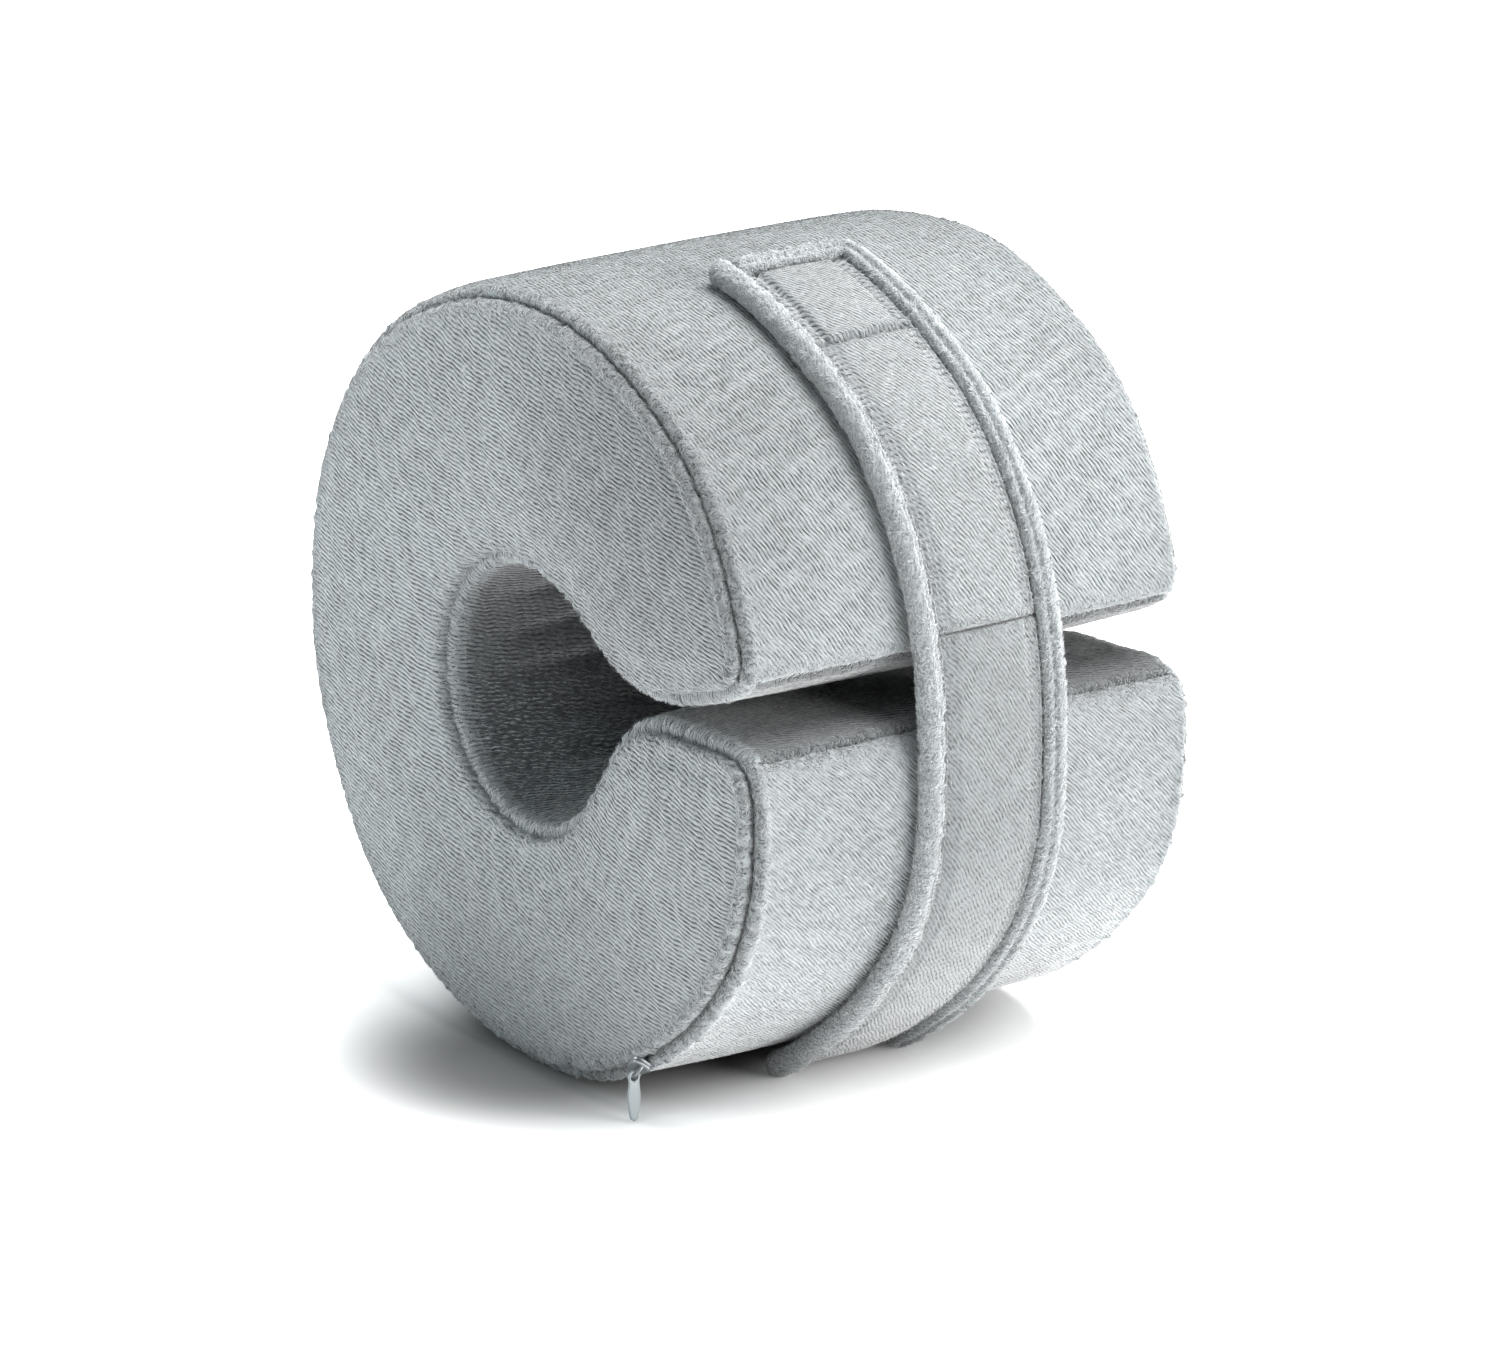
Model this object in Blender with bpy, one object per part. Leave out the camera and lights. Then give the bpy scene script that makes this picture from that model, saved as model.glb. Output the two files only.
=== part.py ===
"""Leg elevation pillow: a C-shaped foam cushion in a plush cover, with a bound strap over its slit.

Metres, +Z up. X points out of the slit, and Y runs along the leg hole, away from the zipped face.
The origin is on the floor, under the cushion's axis and midway between its two faces.
Run it with blender --background --python part.py, or from Blender's text editor.
"""

import math

import bmesh
import bpy
import numpy as np
from mathutils import Matrix, Vector

MM = 0.001

# Cushion: driving sizes
AXIS_HEIGHT = 119.2 * MM  # the axis above the floor; the foam is pressed flat there
FACE_DEPTH = 80.4 * MM  # from mid-depth to each flat face, before its crown
FACE_CROWN = 2.4 * MM
SIDE_DRAW = 1.3 * MM  # how far the sides pull in from mid-depth to a face
SEAM_DEPTH = 1.2 * MM  # how far the thread pulls the cloth in
HOLE_CENTRE = (-3.5 * MM, -4.5 * MM)  # X and Z from the axis
HOLE_RADIUS = 38.0 * MM
SEWING_GAP = 0.35 * MM  # between pieces that are sewn or pressed together

# Band radius about the axis, pressed a little square: degrees from +X towards +Z, millimetres
BAND_RADIUS = (
    (20, 119.6), (33, 122.0), (46, 123.6), (58, 122.6), (70, 121.8), (90, 120.9), (112, 121.3), (135, 121.8),
    (158, 121.9), (180, 121.4), (203, 122.0), (223, 123.0), (245, 121.2), (270, 120.2), (290, 120.9), (306, 120.8),
    (320, 122.4), (333, 123.4), (345, 122.4), (355, 119.8),
)

# Slit walls at mid-depth, from the hole out to the band: X and Z from the axis, millimetres
UPPER_WALL = (
    (19.5, 27.6), (29.0, 21.6), (38.5, 15.7), (48.0, 11.9), (58.0, 10.2), (68.0, 10.2), (81.0, 12.7),
    (95.0, 18.0), (106.5, 23.6), (111.3, 28.0), (113.6, 34.0),
)
LOWER_WALL = (
    (33.8, -18.6), (39.6, -10.2), (46.6, -2.0), (55.5, 4.4), (65.5, 7.7), (78.0, 8.9), (93.0, 9.5),
    (106.5, 8.8), (113.6, 5.6), (117.6, -0.4),
)
UPPER_TIP, UPPER_CORNER = 3, 9  # rows of the tables where the wall turns into the hole, and into the band
LOWER_TIP, LOWER_CORNER = 3, 8
HOLE_FROM, HOLE_TO = 66.0, 327.0  # degrees of the hole that are round, from above the slit to below it

# Soft folds along the hole's lining: degrees about the hole, depth in millimetres, half-width in degrees
LINING_FOLDS = ((128, 1.5, 8), (150, 2.3, 8), (172, 2.0, 7), (191, 2.8, 8), (214, 1.7, 8), (236, 1.4, 8))
FOLD_RUN = 69.0 * MM  # half-length of the folds along Y
LINING_REACH = 1.05  # what lies within this many hole radii is lining

# Rounding from the sides to the faces
BAND_EDGE = 7.5 * MM
TOP_EDGE = 13.0 * MM  # the crown of the band slumps over more at the top
TOP_EDGE_ANGLE, TOP_EDGE_SPREAD = 106.0, 32.0
WALL_EDGE = 12.0 * MM
CORNER_EDGE = 7.0 * MM
CORNER_REACH = 26 * MM  # how far from a slit corner its tight rounding fades out
CROWN_RISE = 14  # the face reaches its crown in a fourteenth of its length from the slit
CROWN_POWER = 0.8  # under 1 fills the face out towards its seams

# How finely the cushion is cut into facets
STEPS_ALONG = 62
STEPS_ACROSS = 11
BAND_KNOT_STEP = 5.0  # degrees
HOLE_KNOTS = 29
BEND_WEIGHT = 11 * MM  # facets shorten where the outline bends this tightly
SEAM_AT = 45  # degrees round the edge from the side to the face
EDGE_ANGLES = (90, 68, 54, SEAM_AT, 36, 18, 0)
MIDDLE_DEPTHS = (-44 * MM, -15 * MM, 15 * MM, 44 * MM)

# Strap: sizes about the band, with heights measured out from the cushion
STRAP_TOP, STRAP_END = 80.5, -67.0  # degrees
STRAP_SEAM = 16.2  # degrees, where the two panels are joined
STRAP_DRIFT = ((-66, -2.2), (-45, -1.4), (-20, 1.0), (5, 2.3), (22, 2.4), (40, 0.4), (60, -1.8), (82, -2.5))
PANEL_HALF = 18.5 * MM
PANEL_HEIGHT = 4.8 * MM
PANEL_SWELL = 0.8 * MM
BINDING_WIDTH = 7.3 * MM
BINDING_HEIGHT = 8.0 * MM
UNDER_REACH = 0.97  # the panel's flat underside over its width
# Upper side of a panel's section: share of its half-width, share of its height
PANEL_PROFILE = ((-1, 0.55), (-0.97, 0.86), (-0.6, 1), (0, 1), (0.6, 1), (0.97, 0.86), (1, 0.55))
PANEL_EDGE_FOOT = 0.25  # share of its height where its side meets its rounded lower edge
# Underside of a binding's section: share of its half-width, share of its height
ROLL_FOOT = ((0.93, 0.2), (0.62, 0.0), (-0.62, 0.0), (-0.93, 0.2))
ROLL_ANGLES = range(170, -11, -20)
END_LIFT = 2.2 * MM  # the lower end stands off the cushion
LIFT_FROM = -38.0
LIFT_CURVE = 1.5
STRAP_STEP = 4.0  # degrees between sections
END_STEP = 0.7  # degrees over which a piece draws in at its ends
PANEL_TAPER, BINDING_TAPER = 0.97, 0.82  # the end sections' size over the rest
PIECE_GAP = 0.2  # degrees between the panels, and to the end binding
CORNER_RADIUS = 3.2 * MM  # of the binding's turn at the upper end

# Zip slider and its pull, on the front seam below the slit
ZIP_ANGLE = -60.0
SLIDER_LENGTH, SLIDER_WIDTH, SLIDER_HEIGHT = 8.0 * MM, 5.0 * MM, 2.4 * MM
SLIDER_SPREAD = 1.35  # its wide mouth over its narrow end
BAIL_LENGTH, BAIL_RADIUS, BAIL_RISE = 5.6 * MM, 0.5 * MM, 3.0 * MM
BAIL_SINK = 0.4 * MM  # how far its feet run into the shoe
PULL_LENGTH, PULL_WIDTH, PULL_THICKNESS = 14.0 * MM, 4.3 * MM, 1.0 * MM
PULL_EYE = 1.35 * MM  # radius of the eye that the bail runs through
PULL_HANG = 0.15 * MM  # the eye's centre below the bail's
SHOE_TAPER = (0.90, 0.86)  # its top over its base, along and across
SHOE_ROUNDING = 0.5 * MM
BAIL_STEPS, BAIL_SIDES = 8, 8
EYE_SIDES = 12
# The pull's outline: share of its length below the eye, share of its full width
PULL_PROFILE = (
    (-0.14, 0.50), (-0.08, 0.80), (0.0, 0.90), (0.10, 0.80), (0.24, 0.86), (0.40, 1.0), (0.6, 0.94), (0.8, 0.76),
    (0.95, 0.54), (1.0, 0.28),
)

PLUSH = (0.50, 0.54, 0.56)
STRAP_PLUSH = (0.55, 0.59, 0.61)
BINDING_PLUSH = (0.52, 0.56, 0.58)
SLIDER_GREY = (0.42, 0.45, 0.47)
PULL_GREY = (0.40, 0.44, 0.46)


def clear_scene():
    for old in list(bpy.data.objects):
        bpy.data.objects.remove(old, do_unlink=True)


def material(name, colour, roughness, metallic=0.0):
    made = bpy.data.materials.new(name)
    made.use_nodes = True
    shader = made.node_tree.nodes["Principled BSDF"]
    shader.inputs["Base Color"].default_value = (*colour, 1.0)
    shader.inputs["Roughness"].default_value = roughness
    shader.inputs["Metallic"].default_value = metallic
    return made


def add_object(name, verts, faces, look):
    mesh = bpy.data.meshes.new(name)
    mesh.from_pydata([tuple(map(float, v)) for v in verts], [], faces)
    mesh.validate()
    mesh.materials.append(look)
    mesh.shade_smooth()
    mesh.set_sharp_from_angle(angle=math.radians(50))
    made = bpy.data.objects.new(name, mesh)
    bpy.context.scene.collection.objects.link(made)
    return made


def smooth_table(rows, x, period=None):
    """The value at x of a smooth curve through (x, value) rows."""
    xs = np.array([row[0] for row in rows], float)
    ys = np.array([row[1] for row in rows], float)
    order = np.argsort(xs)
    xs, ys = xs[order], ys[order]
    x = np.asarray(x, float)
    if period:
        x = (x - xs[0]) % period + xs[0]
        xs = np.concatenate([[xs[-1] - period], xs, [xs[0] + period, xs[1] + period]])
        ys = np.concatenate([[ys[-1]], ys, [ys[0], ys[1]]])
    x = np.clip(x, xs[0], xs[-1])
    slopes = np.gradient(ys, xs)
    i = np.clip(np.searchsorted(xs, x, side="right") - 1, 0, len(xs) - 2)
    width = xs[i + 1] - xs[i]
    t = (x - xs[i]) / width
    start = (1 + 2 * t) * (1 - t) ** 2 * ys[i] + t * (1 - t) ** 2 * width * slopes[i]
    return start + t**2 * (3 - 2 * t) * ys[i + 1] + t**2 * (t - 1) * width * slopes[i + 1]


def band_radius(degrees):
    return smooth_table(BAND_RADIUS, degrees, period=360) * MM


def bump(x, half_width):
    """1 at 0, falling smoothly to nothing at the half-width."""
    return np.where(np.abs(x) < half_width, 0.5 + 0.5 * np.cos(np.pi * np.asarray(x, float) / half_width), 0.0)


def spline(knots, steps=6):
    """A closed smooth curve through the knots."""
    knots = np.array(knots, float)
    before, after, next_after = np.roll(knots, 1, 0), np.roll(knots, -1, 0), np.roll(knots, -2, 0)
    gap = np.linalg.norm(after - knots, axis=1)[:, None]
    gap_before, gap_after = np.roll(gap, 1, 0), np.roll(gap, -1, 0)
    inward, outgoing, beyond = (knots - before) / gap_before, (after - knots) / gap, (next_after - after) / gap_after
    leaving = (inward * gap + outgoing * gap_before) / (gap + gap_before) * gap
    arriving = (outgoing * gap_after + beyond * gap) / (gap + gap_after) * gap
    points = []
    for step in range(steps):
        t = step / steps
        points.append(
            (1 + 2 * t) * (1 - t) ** 2 * knots + t * (1 - t) ** 2 * leaving
            + t * t * (3 - 2 * t) * after + t * t * (t - 1) * arriving
        )
    return np.stack(points, 1).reshape(-1, 2)


def spread_evenly(line, count):
    """count steps along an open line, shorter where it bends. The last point is left out."""
    steps = np.diff(line, axis=0)
    length = np.linalg.norm(steps, axis=1)
    heading = np.unwrap(np.arctan2(steps[:, 1], steps[:, 0]))
    turn = np.abs(np.gradient(heading))
    travelled = np.concatenate([[0], np.cumsum(length + BEND_WEIGHT * turn)])
    wanted = np.linspace(0, travelled[-1], count + 1)[:-1]
    return np.stack([np.interp(wanted, travelled, line[:, k]) for k in range(2)], 1)


def cushion_outline():
    """The outline at mid-depth, about the axis, as four stretches: band, lower wall, hole and upper wall."""
    band_angles = np.arange(BAND_RADIUS[0][0], BAND_RADIUS[-1][0] + 1, BAND_KNOT_STEP)
    around = np.radians(band_angles)
    band = np.stack([np.cos(around), np.sin(around)], 1) * band_radius(band_angles)[:, None]
    hole_angles = np.radians(np.linspace(HOLE_TO, HOLE_FROM, HOLE_KNOTS))
    hole = np.array(HOLE_CENTRE) + HOLE_RADIUS * np.stack([np.cos(hole_angles), np.sin(hole_angles)], 1)
    lower = np.array(LOWER_WALL[::-1]) * MM
    upper = np.array(UPPER_WALL) * MM
    line = spline(np.concatenate([band, lower, hole, upper]))
    line = np.roll(line, -int(np.argmin(np.linalg.norm(line - upper[UPPER_CORNER], axis=1))), 0)
    line = np.concatenate([line, line[:1]])
    turns = [lower[len(lower) - 1 - LOWER_CORNER], lower[len(lower) - 1 - LOWER_TIP], upper[UPPER_TIP]]
    cuts = [0] + [int(np.argmin(np.linalg.norm(line - turn, axis=1))) for turn in turns] + [len(line) - 1]
    counts = (STEPS_ALONG, STEPS_ACROSS, STEPS_ALONG, STEPS_ACROSS)
    return [spread_evenly(line[a : b + 1], n) for a, b, n in zip(cuts, cuts[1:], counts)]


def outward(points):
    """Unit normals of a closed outline that runs anticlockwise."""
    along = np.roll(points, -1, 0) - np.roll(points, 1, 0)
    along /= np.linalg.norm(along, axis=1)[:, None]
    return np.stack([along[:, 1], -along[:, 0]], 1)


def edge_radius(points):
    """The rounding at each outline point: tight on the band, softer at the top, the walls and the hole."""
    angle = np.degrees(np.arctan2(points[:, 1], points[:, 0])) % 360
    band = BAND_EDGE + (TOP_EDGE - BAND_EDGE) * bump(angle - TOP_EDGE_ANGLE, TOP_EDGE_SPREAD)
    radius = np.where(np.arange(len(points)) < STEPS_ALONG, band, WALL_EDGE)
    for corner in (0, STEPS_ALONG):
        distance = np.linalg.norm(points - points[corner], axis=1)
        radius = CORNER_EDGE + (radius - CORNER_EDGE) * np.clip(distance / CORNER_REACH, 0, 1)
    return radius


def lining_fold(points, depth):
    """How far the hole's lining sinks into the foam at each outline point."""
    away = points - np.array(HOLE_CENTRE)
    angle = np.degrees(np.arctan2(away[:, 1], away[:, 0])) % 360
    in_hole = np.linalg.norm(away, axis=1) < HOLE_RADIUS * LINING_REACH
    sunk = sum(deep * MM * bump(angle - at, half) for at, deep, half in LINING_FOLDS)
    return sunk * in_hole * bump(depth, FOLD_RUN)


def cushion_ring(points, normals, radius, depth=None, edge=None, side=1):
    """One loop of the side: at a given depth, or at an angle round the edge towards the face on that side."""
    inset = np.zeros(len(points))
    if edge is None:
        y = np.full(len(points), depth)
        inset += lining_fold(points, depth)
    else:
        angle = math.radians(edge)
        groove = SEAM_DEPTH * (edge == SEAM_AT)
        y = side * (FACE_DEPTH - radius * (1 - math.sin(angle)) - groove * math.sin(angle))
        inset += radius * (1 - math.cos(angle)) + groove * math.cos(angle)
    inset += SIDE_DRAW * (np.abs(y) / FACE_DEPTH) ** 2
    for corner in (0, STEPS_ALONG):
        if edge is None or edge < SEAM_AT:
            inset[corner] += SEAM_DEPTH
    flat = points - normals * inset[:, None]
    return np.stack([flat[:, 0], y, flat[:, 1]], 1)


def face_grid(ring, side):
    """The C-shaped face inside a ring: rows from the band to the hole, crowned between its seams."""
    n, m = STEPS_ALONG, STEPS_ACROSS
    band = ring[: n + 1]
    lower = ring[n : n + m + 1]
    hole = ring[n + m : 2 * n + m + 1][::-1]
    upper = np.concatenate([ring[2 * n + m :], ring[:1]])[::-1]
    grid = np.empty((m + 1, n + 1, 3))
    for j in range(m + 1):
        v = j / m
        u = np.linspace(0, 1, n + 1)[:, None]
        straight = (1 - v) * band + v * hole
        ends = (1 - u) * upper[j] + u * lower[j]
        corners = (1 - u) * ((1 - v) * band[0] + v * hole[0]) + u * ((1 - v) * band[-1] + v * hole[-1])
        grid[j] = straight + ends - corners
        u = u[:, 0]
        swell = (4 * v * (1 - v) * np.clip(CROWN_RISE * np.minimum(u, 1 - u), 0, 1)) ** CROWN_POWER
        grid[j, :, 1] += side * FACE_CROWN * swell
    return grid


def make_cushion(look):
    """The foam in its cover: sides ring by ring, then the two C-shaped faces."""
    points = np.concatenate(cushion_outline())
    normals = outward(points)
    radius = edge_radius(points)
    rings = [cushion_ring(points, normals, radius, edge=angle, side=-1) for angle in EDGE_ANGLES]
    rings += [cushion_ring(points, normals, radius, depth=y) for y in MIDDLE_DEPTHS]
    rings += [cushion_ring(points, normals, radius, edge=angle, side=1) for angle in EDGE_ANGLES[::-1]]
    count = len(points)
    verts = [tuple(p) for ring in rings for p in ring]
    faces = []
    for k in range(len(rings) - 1):
        for i in range(count):
            j = (i + 1) % count
            faces.append((k * count + i, k * count + j, (k + 1) * count + j, (k + 1) * count + i))
    for ring_index, side in ((0, -1), (len(rings) - 1, 1)):
        grid = face_grid(rings[ring_index], side)
        index = rim_numbers(ring_index * count)
        for j in range(1, STEPS_ACROSS):
            for i in range(1, STEPS_ALONG):
                index[j][i] = len(verts)
                verts.append(tuple(grid[j, i]))
        for j in range(STEPS_ACROSS):
            for i in range(STEPS_ALONG):
                quad = (index[j][i], index[j][i + 1], index[j + 1][i + 1], index[j + 1][i])
                faces.append(quad if side < 0 else quad[::-1])
    verts = [(x, y, max(z + AXIS_HEIGHT, 0.0)) for x, y, z in verts]
    cushion = add_object("cushion", verts, faces, look)
    face_outwards(cushion)
    return cushion


def rim_numbers(first):
    """Vertex numbers of a face's grid, with its rim taken from the ring that starts at first."""
    n, m = STEPS_ALONG, STEPS_ACROSS
    total = 2 * (n + m)
    index = [[None] * (n + 1) for _ in range(m + 1)]
    for i in range(n + 1):
        index[0][i] = first + i
        index[m][i] = first + 2 * n + m - i
    for j in range(m + 1):
        index[j][n] = first + n + j
        index[j][0] = first + (total - j) % total
    return index


def face_outwards(made):
    """Turns the faces out, and splits them into triangles that stay flat."""
    shape = bmesh.new()
    shape.from_mesh(made.data)
    bmesh.ops.recalc_face_normals(shape, faces=shape.faces)
    bmesh.ops.triangulate(shape, faces=shape.faces)
    shape.to_mesh(made.data)
    shape.free()


def strap_place(angle, y, height):
    """A point of the strap: height is measured out from the cushion, which the strap's lower end stands off."""
    lift = END_LIFT * np.clip((LIFT_FROM - angle) / (LIFT_FROM - STRAP_END), 0, 1) ** LIFT_CURVE
    radius = band_radius(angle) - SIDE_DRAW * (y / FACE_DEPTH) ** 2 + SEWING_GAP + lift + height
    turned = math.radians(angle)
    x, z = radius * math.cos(turned), radius * math.sin(turned) + AXIS_HEIGHT
    return np.array([x, y, max(z, 0.0)])


def strap_centre(angle):
    return smooth_table(STRAP_DRIFT, angle) * MM


def strap_angles(low, high):
    """Section angles from high to low, with a short step at each end."""
    steps = math.ceil((high - low) / STRAP_STEP)
    angles = np.linspace(high, low, steps + 1)
    return np.concatenate([[high, high - END_STEP], angles[1:-1], [low + END_STEP, low]])


def panel_section():
    """Section of a strap panel as (across, height) points, soft at its edges and swollen in the middle."""
    side = PANEL_HALF - SEWING_GAP
    top = [(share * side, PANEL_HEIGHT * height + PANEL_SWELL * (1 - share**2)) for share, height in PANEL_PROFILE]
    foot = PANEL_EDGE_FOOT * PANEL_HEIGHT
    return top + [(side, foot), (side * UNDER_REACH, 0.0), (0.0, 0.0), (-side * UNDER_REACH, 0.0), (-side, foot)]


def roll_section():
    """Section of the rolled binding as (across, height) points: a soft tube that lies flat on the cushion."""
    half, middle = BINDING_WIDTH / 2, BINDING_HEIGHT / 2
    upper = [(half * math.cos(a), middle * (1 + math.sin(a))) for a in np.radians(ROLL_ANGLES)]
    return upper + [(half * across, BINDING_HEIGHT * height) for across, height in ROLL_FOOT]


def sweep(name, route, section, look, taper):
    """A closed solid along a route of (angle, y) points, with a slightly drawn-in section at each end."""
    angles = np.array([r[0] for r in route], float)
    ys = np.array([r[1] for r in route], float)
    arc = np.radians(angles) * band_radius(90.0)
    line = np.stack([arc, ys], 1)
    along = np.gradient(line, axis=0)
    along /= np.linalg.norm(along, axis=1)[:, None]
    rings = []
    last = len(route) - 1
    middle = max(h for _, h in section) / 2
    for i in range(len(route)):
        size = taper if i in (0, last) else 1.0
        ring = []
        for across, height in section:
            place = line[i] + np.array([-along[i, 1], along[i, 0]]) * across * size
            ring.append(
                strap_place(np.degrees(place[0] / band_radius(90.0)), place[1], middle + (height - middle) * size)
            )
        rings.append(ring)
    count = len(section)
    verts = [tuple(p) for ring in rings for p in ring]
    faces = [
        (k * count + i, k * count + (i + 1) % count, (k + 1) * count + (i + 1) % count, (k + 1) * count + i)
        for k in range(last) for i in range(count)
    ]
    faces.append(tuple(range(count))[::-1])
    faces.append(tuple(last * count + i for i in range(count)))
    made = add_object(name, verts, faces, look)
    face_outwards(made)
    return made


def make_strap_panel(name, low, high, look):
    route = [(a, strap_centre(a)) for a in strap_angles(low, high)]
    return sweep(name, route, panel_section(), look, PANEL_TAPER)


def make_front_binding(look):
    """The rolled edge nearer the zipped face, past the upper end binding."""
    side = PANEL_HALF + BINDING_WIDTH / 2
    route = [(a, strap_centre(a) - side) for a in strap_angles(STRAP_END, STRAP_TOP)]
    return sweep("strap_binding_front", route, roll_section(), look, BINDING_TAPER)


def make_back_binding(look):
    """The rolled edge on the far side, which turns the corner and closes the strap's upper end."""
    side = PANEL_HALF + BINDING_WIDTH / 2
    degrees_per_metre = 180 / math.pi / band_radius(90.0)
    end_angle = STRAP_TOP - BINDING_WIDTH / 2 * degrees_per_metre
    turn = CORNER_RADIUS * degrees_per_metre
    route = [(a, strap_centre(a) + side) for a in strap_angles(STRAP_END, end_angle - turn)[::-1]]
    corner_y = strap_centre(end_angle) + side - CORNER_RADIUS
    for step in (30, 60, 90):
        a = math.radians(step)
        route.append((end_angle - turn * (1 - math.sin(a)), corner_y + CORNER_RADIUS * math.cos(a)))
    stop = strap_centre(end_angle) - PANEL_HALF + SEWING_GAP
    run = (corner_y, corner_y * 0.5 + stop * 0.5, stop + END_STEP / degrees_per_metre, stop)
    route += [(end_angle, y) for y in run[1:]]
    return sweep("strap_binding_back", route, roll_section(), look, BINDING_TAPER)


def zip_frame():
    """The slider's place on the front seam: X along the seam, Z out of the cloth."""
    a = math.radians(ZIP_ANGLE)
    radial, along = Vector((math.cos(a), 0, math.sin(a))), Vector((-math.sin(a), 0, math.cos(a)))
    out = (radial + Vector((0, -1, 0))).normalized()
    inset = BAND_EDGE * (1 - math.cos(math.radians(SEAM_AT)))
    radius = float(band_radius(ZIP_ANGLE)) - inset - SIDE_DRAW
    seat = radial * radius + Vector((0, -(FACE_DEPTH - inset), AXIS_HEIGHT))
    frame = Matrix((along, out.cross(along), out)).transposed().to_4x4()
    frame.translation = seat + out * SEWING_GAP
    return frame


def new_object(name, shape, look=None):
    """A named object from a bmesh, which is used up."""
    bmesh.ops.recalc_face_normals(shape, faces=shape.faces)
    mesh = bpy.data.meshes.new(name)
    shape.to_mesh(mesh)
    shape.free()
    if look:
        mesh.materials.append(look)
    made = bpy.data.objects.new(name, mesh)
    bpy.context.scene.collection.objects.link(made)
    return made


def combine(base, other, operation):
    """Joins the other shape to the base, or cuts it away. The other one stays as a helper only."""
    other.hide_render = True
    other.display_type = "WIRE"
    step = base.modifiers.new(other.name, "BOOLEAN")
    step.operation = operation
    step.object = other


def make_bail(frame):
    """The arch of wire on the slider's back."""
    shape = bmesh.new()
    rings = []
    for step in range(BAIL_STEPS + 1):
        a = math.pi * step / BAIL_STEPS
        rise = SLIDER_HEIGHT - BAIL_SINK + BAIL_RISE * math.sin(a)
        centre = Vector((-BAIL_LENGTH / 2 * math.cos(a), 0, rise))
        away, sideways = Vector((-math.cos(a), 0, math.sin(a))), Vector((0, 1, 0))
        turns = [2 * math.pi * k / BAIL_SIDES for k in range(BAIL_SIDES)]
        ring = [centre + BAIL_RADIUS * (away * math.cos(b) + sideways * math.sin(b)) for b in turns]
        rings.append([shape.verts.new(p) for p in ring])
    for first, second in zip(rings, rings[1:]):
        for k in range(BAIL_SIDES):
            n = (k + 1) % BAIL_SIDES
            shape.faces.new((first[k], first[n], second[n], second[k]))
    shape.faces.new(rings[0])
    shape.faces.new(rings[-1])
    bail = new_object("bail_tool", shape)
    bail.matrix_world = frame
    return bail


def make_slider(frame, look):
    """The slider's shoe, wide at its mouth, with the bail that carries the pull standing on it."""
    half, narrow = SLIDER_LENGTH / 2, SLIDER_WIDTH / 2
    wide = narrow * SLIDER_SPREAD
    base = [(-half, -narrow), (half, -wide), (half, wide), (-half, narrow)]
    shape = bmesh.new()
    low = [shape.verts.new((x, y, 0)) for x, y in base]
    high = [shape.verts.new((x * SHOE_TAPER[0], y * SHOE_TAPER[1], SLIDER_HEIGHT)) for x, y in base]
    shape.faces.new(low)
    shape.faces.new(high)
    for k in range(4):
        n = (k + 1) % 4
        shape.faces.new((low[k], low[n], high[n], high[k]))
    slider = new_object("zip_slider", shape, look)
    slider.matrix_world = frame
    rounding = slider.modifiers.new("rounding", "BEVEL")
    rounding.width = SHOE_ROUNDING
    rounding.segments = 2
    combine(slider, make_bail(frame), "UNION")


def make_pull(frame, look):
    """The teardrop pull, hanging straight down from the bail through its eye."""
    bail_top = frame @ Vector((0, 0, SLIDER_HEIGHT - BAIL_SINK + BAIL_RISE))
    drop, across, thick = Vector((0, 0, -1)), Vector((0, 1, 0)), Vector((1, 0, 0))
    eye = bail_top + drop * PULL_HANG
    rows = [(eye + drop * PULL_LENGTH * share, across * PULL_WIDTH / 2 * width) for share, width in PULL_PROFILE]
    outline = [at + half for at, half in rows] + [at - half for at, half in reversed(rows)]
    shape = bmesh.new()
    flat = shape.faces.new([shape.verts.new(p - thick * PULL_THICKNESS / 2) for p in outline])
    raised = bmesh.ops.extrude_face_region(shape, geom=[flat])
    moved = [v for v in raised["geom"] if isinstance(v, bmesh.types.BMVert)]
    bmesh.ops.translate(shape, verts=moved, vec=thick * PULL_THICKNESS)
    pull = new_object("zip_pull", shape, look)

    turn = Matrix((across, drop, -thick)).transposed().to_4x4()
    turn.translation = eye
    shape = bmesh.new()
    bmesh.ops.create_cone(
        shape, cap_ends=True, segments=EYE_SIDES, radius1=PULL_EYE, radius2=PULL_EYE, depth=4 * PULL_THICKNESS,
        matrix=turn,
    )
    combine(pull, new_object("eye_tool", shape), "DIFFERENCE")


def main():
    clear_scene()
    plush = material("plush", PLUSH, 0.9)
    strap_plush = material("strap_plush", STRAP_PLUSH, 0.9)
    binding_plush = material("binding_plush", BINDING_PLUSH, 0.92)
    make_cushion(plush)
    panel_top = STRAP_TOP - math.degrees(BINDING_WIDTH / band_radius(90.0)) - PIECE_GAP
    make_strap_panel("strap_panel_upper", STRAP_SEAM + PIECE_GAP / 2, panel_top, strap_plush)
    make_strap_panel("strap_panel_lower", STRAP_END, STRAP_SEAM - PIECE_GAP / 2, strap_plush)
    make_front_binding(binding_plush)
    make_back_binding(binding_plush)
    frame = zip_frame()
    make_slider(frame, material("slider_metal", SLIDER_GREY, 0.35, 0.8))
    make_pull(frame, material("pull_paint", PULL_GREY, 0.45))


main()
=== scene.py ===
import math

import bmesh
import bpy
import numpy as np
from mathutils import Matrix, Vector, noise


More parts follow.
